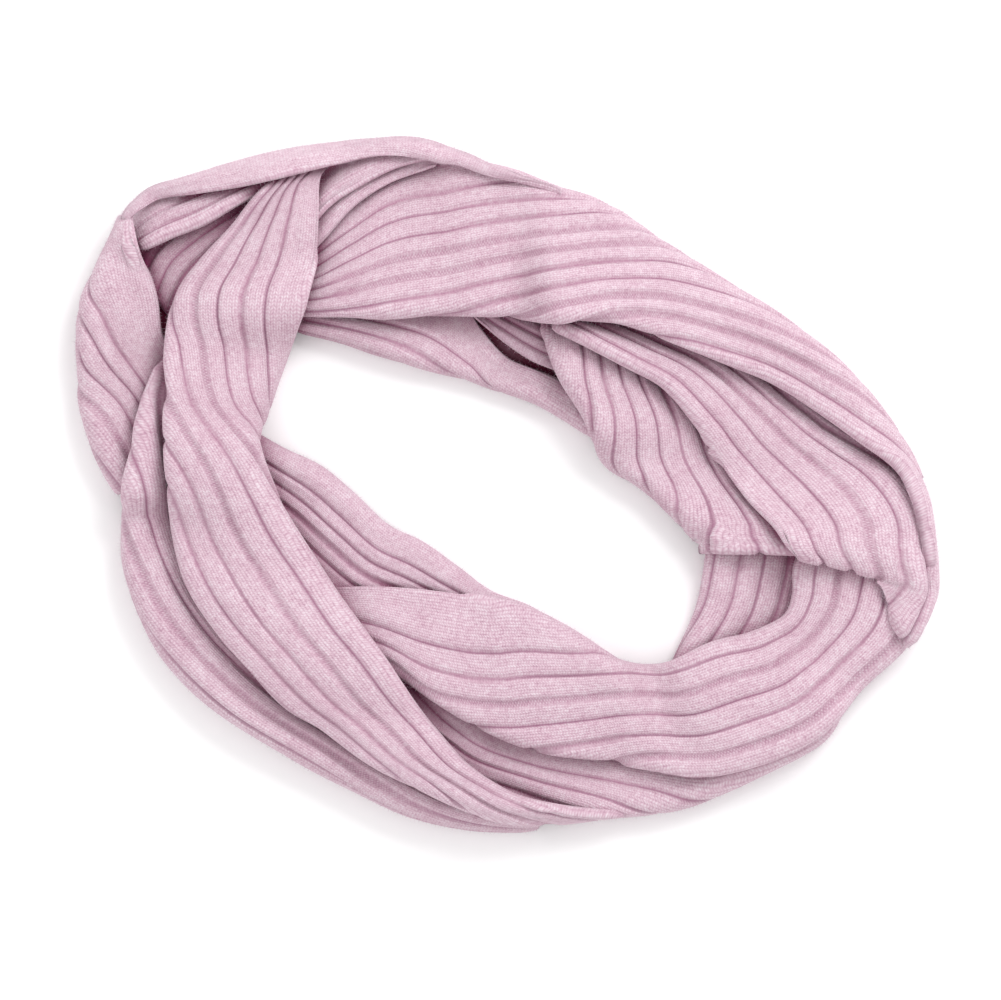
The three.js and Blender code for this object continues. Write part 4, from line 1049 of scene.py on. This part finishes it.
def knit(name, light, middle, shade, painted_shade, plum):
    material = bpy.data.materials.new(name)
    material.use_nodes = True
    tree = material.node_tree
    tree.nodes.clear()
    math_of = lambda how, a, b=0.0, c=0.0: add(
        tree, "ShaderNodeMath", {"operation": how}, i0=a, i1=b, i2=c
    ).outputs[0]
    place = add(tree, "ShaderNodeUVMap", {"uv_map": "along_ribs"}).outputs[0]
    # A slow wander keeps the stitch columns from being ruled lines.
    wander = add(tree, "ShaderNodeTexNoise", Vector=place, Scale=90.0, Detail=2.0)
    shift = add(tree, "ShaderNodeVectorMath", {"operation": "SCALE"}, i0=wander.outputs["Color"], Scale=0.0009)
    moved = add(tree, "ShaderNodeVectorMath", {"operation": "ADD"}, i0=place, i1=shift.outputs[0])
    parts = add(tree, "ShaderNodeSeparateXYZ", Vector=moved.outputs[0])
    u = math_of("MULTIPLY", parts.outputs["X"], 1000 / ROW_MM)
    v = math_of("MULTIPLY", parts.outputs["Y"], 1000 / COLUMN_MM)
    across = math_of("FRACT", v)
    from_middle = math_of("ABSOLUTE", math_of("SUBTRACT", across, 0.5))
    # The two strands of a V lean towards each other along the column.
    lean = math_of("ADD", u, math_of("MULTIPLY", from_middle, 1.3))
    strand = math_of("ADD", math_of("MULTIPLY", math_of("COSINE", math_of("MULTIPLY", lean, 2 * math.pi)), 0.5), 0.5)
    leg = math_of("ABSOLUTE", math_of("SINE", math_of("MULTIPLY", across, 2 * math.pi)))
    stitch = math_of("MULTIPLY", math_of("POWER", leg, 0.5), math_of("ADD", math_of("MULTIPLY", strand, 0.6), 0.4))
    # The purl net: two sets of leaning bars.
    sway = math_of("MULTIPLY", v, math.pi)
    rise = math_of("MULTIPLY", u, math.pi)
    bars = math_of(
        "MULTIPLY",
        math_of("COSINE", math_of("ADD", rise, sway)),
        math_of("COSINE", math_of("SUBTRACT", rise, sway)),
    )
    bars = math_of("ABSOLUTE", bars)
    net = add(tree, "ShaderNodeAttribute", {"attribute_name": "net"}).outputs["Fac"]
    painted_channel_shade = add(tree, "ShaderNodeAttribute", {"attribute_name": "painted_channel_shade"}).outputs["Fac"]
    relief = add(tree, "ShaderNodeMix", Factor=net, A=stitch, B=bars).outputs[0]
    # Fibres of two shades, in patches of a few millimetres and in streaks along the yarn.
    where = add(tree, "ShaderNodeTexCoord").outputs["Object"]
    patch = add(tree, "ShaderNodeTexNoise", Vector=where, Scale=420.0, Detail=3.0, Roughness=0.7).outputs["Fac"]
    broad = add(tree, "ShaderNodeTexNoise", Vector=where, Scale=70.0, Detail=2.0).outputs["Fac"]
    drawn = add(tree, "ShaderNodeMapping", {"vector_type": "POINT"}, Vector=moved.outputs[0], Scale=(0.5, 1.0, 1.0))
    fibre = add(
        tree, "ShaderNodeTexNoise", Vector=drawn.outputs[0], Scale=1100.0, Detail=2.0, Roughness=0.75
    ).outputs["Fac"]
    tone = math_of("ADD", math_of("MULTIPLY", patch, 0.45), math_of("MULTIPLY", broad, 0.22))
    tone = math_of("ADD", tone, math_of("MULTIPLY", fibre, 0.7))
    tone = math_of("ADD", tone, math_of("MULTIPLY", relief, 0.36))
    tone = math_of("ADD", tone, 0.075)
    ramp = add(tree, "ShaderNodeValToRGB", Fac=math_of("MULTIPLY", tone, 0.7))
    ramp.color_ramp.elements[0].position, ramp.color_ramp.elements[0].color = 0.46, linear(shade)
    ramp.color_ramp.elements[1].position, ramp.color_ramp.elements[1].color = 0.86, linear(light)
    between = ramp.color_ramp.elements.new(0.66)
    between.color = linear(middle)
    # Painted shade: a channel's colour is mixed towards a dark tone, most in a slack crease and on the underside,
    # less in an open net.
    painted_channel_darkening = math_of("MULTIPLY", painted_channel_shade, math_of("SUBTRACT", 0.85, math_of("MULTIPLY", net, 0.6)))
    painted_channel_shading = add(tree, "ShaderNodeMix", {"data_type": "RGBA"}, i0=painted_channel_darkening, i6=ramp.outputs["Color"], i7=linear(painted_shade))
    # Painted shade: where the cloth round a place hides the sky, the colour is mixed towards plum.
    sky = add(tree, "ShaderNodeAttribute", {"attribute_name": "painted_shade"}).outputs["Fac"]
    painted_crease_shade_amount = add(
        tree, "ShaderNodeMapRange", {"interpolation_type": "SMOOTHSTEP"}, i0=sky, i1=0.08, i2=0.75, i3=0.0, i4=1.0
    ).outputs[0]
    colour = add(tree, "ShaderNodeMix", {"data_type": "RGBA"}, i0=painted_crease_shade_amount, i6=painted_channel_shading.outputs[2], i7=linear(plum))
    bump_height = math_of("ADD", relief, math_of("MULTIPLY", fibre, 0.35))
    bump = add(tree, "ShaderNodeBump", Strength=0.55, Distance=0.0005, Height=bump_height)
    shader = add(tree, "ShaderNodeBsdfPrincipled", Roughness=0.95, Normal=bump.outputs["Normal"])
    tree.links.new(colour.outputs[2], shader.inputs["Base Color"])
    shader.inputs["Sheen Weight"].default_value = 0.35
    shader.inputs["Sheen Roughness"].default_value = 0.5
    shader.inputs["Sheen Tint"].default_value = linear("#F3E3EA")
    shader.inputs["Specular IOR Level"].default_value = 0.2
    out = add(tree, "ShaderNodeOutputMaterial")
    tree.links.new(shader.outputs[0], out.inputs["Surface"])
    return material


brushed_knit = knit("brushed_rib_knit", "#E0D1D9", "#CFB0BE", "#B48C9F", "#955F7B", "#7E3056")
# The hidden layers get a darker copy of the knit, standing for the shade in the gaps under the other cloth: painted
# shade.
painted_shade_knit = knit("painted_shade_rib_knit", "#D3BFCA", "#C0A1B1", "#A48093", "#85596F", "#6E1E3C")
for piece in pieces.values():
    piece.data.materials.append(brushed_knit)
hidden.data.materials.append(painted_shade_knit)

# %% [markdown]
# ## Loose fibres
# Brushing pulls fine fibres out of the yarn. Against a pale ground they are the soft halo round the
# scarf. Each is a thin closed spike with one bend. Most stand where the cloth turns away from the
# camera, and none stands where another layer covers the cloth.

# %% Fibres
FIBRES = 17000
FIBRE_LONG = (0.8, 2.6)  # mm
FIBRE_THICK = 0.10  # mm at the root
FIBRE_ROOT = 0.3  # mm that a fibre starts under the surface
FIBRE_STRAY = 0.75  # how far a fibre leans away from the normal


def bare_places():
    # Points on the cloth that no other layer covers, their normals, and how often a fibre stands there.
    places, facings, chances = [], [], []
    for piece in pieces.values():
        mesh = piece.data
        count = len(mesh.vertices)
        place, facing = np.zeros(3 * count), np.zeros(3 * count)
        mesh.vertices.foreach_get("co", place)
        mesh.vertices.foreach_get("normal", facing)
        place, facing = place.reshape(-1, 3) / MM, facing.reshape(-1, 3)
        over = height_of(top, place[:, 0] + MIDDLE[0], place[:, 1] + MIDDLE[1])
        bare = (place[:, 2] > over - 2.0 * RIB) & (facing[:, 2] > -0.2)
        edge_on = 1 - np.abs(facing[:, 2])
        places.append(place)
        facings.append(facing)
        chances.append(np.where(bare, 0.08 + edge_on**3, 0))
    return np.concatenate(places), np.concatenate(facings), np.concatenate(chances)


places, facings, chances = bare_places()
picked = rng.choice(len(places), FIBRES, replace=False, p=chances / chances.sum())
root, facing = places[picked], facings[picked]
stray = rng.standard_normal((2, FIBRES, 3)) * FIBRE_STRAY
unit = lambda part: part / np.linalg.norm(part, axis=1, keepdims=True)
first, second = unit(facing + 0.6 * stray[0]), unit(0.6 * facing + stray[1])
long = rng.uniform(*FIBRE_LONG, FIBRES)[:, None]
root = root - FIBRE_ROOT * facing
bend = root + first * (FIBRE_ROOT + 0.5 * long)
tip = bend + second * 0.5 * long
side = unit(np.cross(first, [0.3, 0.5, 0.8]))
other = np.cross(first, side)
ring_of = lambda at, thick: [
    at + 0.5 * thick * (math.cos(a) * side + math.sin(a) * other) for a in (0, 2 * math.pi / 3, 4 * math.pi / 3)
]
points = np.stack([*ring_of(root, FIBRE_THICK), *ring_of(bend, 0.7 * FIBRE_THICK), tip], 1)
points[..., 2] = np.maximum(points[..., 2], 0.2)
start = 7 * np.arange(FIBRES)[:, None]
quads = np.concatenate([start + [k, (k + 1) % 3, 3 + (k + 1) % 3, 3 + k] for k in range(3)])
ends = np.concatenate([start + [2, 1, 0]] + [start + [3 + k, 3 + (k + 1) % 3, 6] for k in range(3)])
fibre_mesh = bpy.data.meshes.new("brushed_fibres")
fibre_mesh.from_pydata((points.reshape(-1, 3) * MM).tolist(), [], quads.tolist() + ends.tolist())
fibre_mesh.update()
fibre_mesh.shade_smooth()
fibres = bpy.data.objects.new("brushed_fibres", fibre_mesh)
bpy.context.scene.collection.objects.link(fibres)
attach(fibres, "root")
wool = bpy.data.materials.new("loose_wool_fibre")
wool.use_nodes = True
wool.node_tree.nodes.clear()
spot = add(wool.node_tree, "ShaderNodeTexCoord").outputs["Object"]
shades = add(wool.node_tree, "ShaderNodeTexNoise", Vector=spot, Scale=900.0).outputs["Fac"]
wool_tone = add(
    wool.node_tree, "ShaderNodeMix", {"data_type": "RGBA"}, i0=shades, i6=linear("#C9AFC0"), i7=linear("#F1E6EC")
)
wool_shader = add(wool.node_tree, "ShaderNodeBsdfPrincipled", Roughness=0.8)
wool.node_tree.links.new(wool_tone.outputs[2], wool_shader.inputs["Base Color"])
wool_out = add(wool.node_tree, "ShaderNodeOutputMaterial")
wool.node_tree.links.new(wool_shader.outputs[0], wool_out.inputs["Surface"])
fibre_mesh.materials.append(wool)
print(FIBRES, "loose fibres,", len(fibre_mesh.polygons), "faces")

# %% [markdown]
# ## The floor, the light and the camera
# The scarf lies on a plain white surface under wide soft lights, as for a shop photo, so it throws
# only a faint shadow. The camera looks straight down, as the photo does, from far enough away that
# the height of the pile hardly changes its outline.

# %% Floor
floor_mesh = bpy.data.meshes.new("floor")
HALF = 3.0
floor_mesh.from_pydata(
    [(-HALF, -HALF, 0), (HALF, -HALF, 0), (HALF, HALF, 0), (-HALF, HALF, 0)], [], [(0, 1, 2, 3)]
)
floor = bpy.data.objects.new("floor", floor_mesh)
bpy.context.scene.collection.objects.link(floor)
paper = bpy.data.materials.new("matt_white_paper")
paper.use_nodes = True
paper_shader = paper.node_tree.nodes["Principled BSDF"]
paper_shader.inputs["Base Color"].default_value = linear("#FFFFFF")
paper_shader.inputs["Roughness"].default_value = 0.9
floor_mesh.materials.append(paper)

# %% Lights
world = bpy.data.worlds.new("studio")
world.use_nodes = True
world.node_tree.nodes["Background"].inputs["Color"].default_value = (1.0, 1.0, 1.0, 1.0)
world.node_tree.nodes["Background"].inputs["Strength"].default_value = 0.92
bpy.context.scene.world = world


def soft_light(name, place, size, power):
    lamp = bpy.data.lights.new(name, "AREA")
    lamp.size = size
    lamp.energy = power
    thing = bpy.data.objects.new(name, lamp)
    thing.location = place
    thing.rotation_mode = "QUATERNION"
    thing.rotation_quaternion = (-Vector(place)).to_track_quat("-Z", "Y")
    bpy.context.scene.collection.objects.link(thing)


soft_light("window", (0.7, 1.0, 1.3), 0.8, 16.0)
soft_light("fill", (-1.2, -0.2, 1.6), 1.6, 4.0)
bpy.context.scene.view_settings.view_transform = "Standard"

# %% Camera
VIEW_WIDTH = 1001 * 0.5 * MM  # the photo's width on the floor: half a millimetre for a pixel
DISTANCE = 2.5
camera_data = bpy.data.cameras.new("camera")
camera_data.sensor_width = 36.0
camera_data.lens = 36.0 * DISTANCE / VIEW_WIDTH
camera = bpy.data.objects.new("camera", camera_data)
camera.location = (-MIDDLE[0] * MM, -MIDDLE[1] * MM, DISTANCE)
bpy.context.scene.collection.objects.link(camera)
bpy.context.scene.camera = camera
print("lens", round(camera_data.lens), "mm")
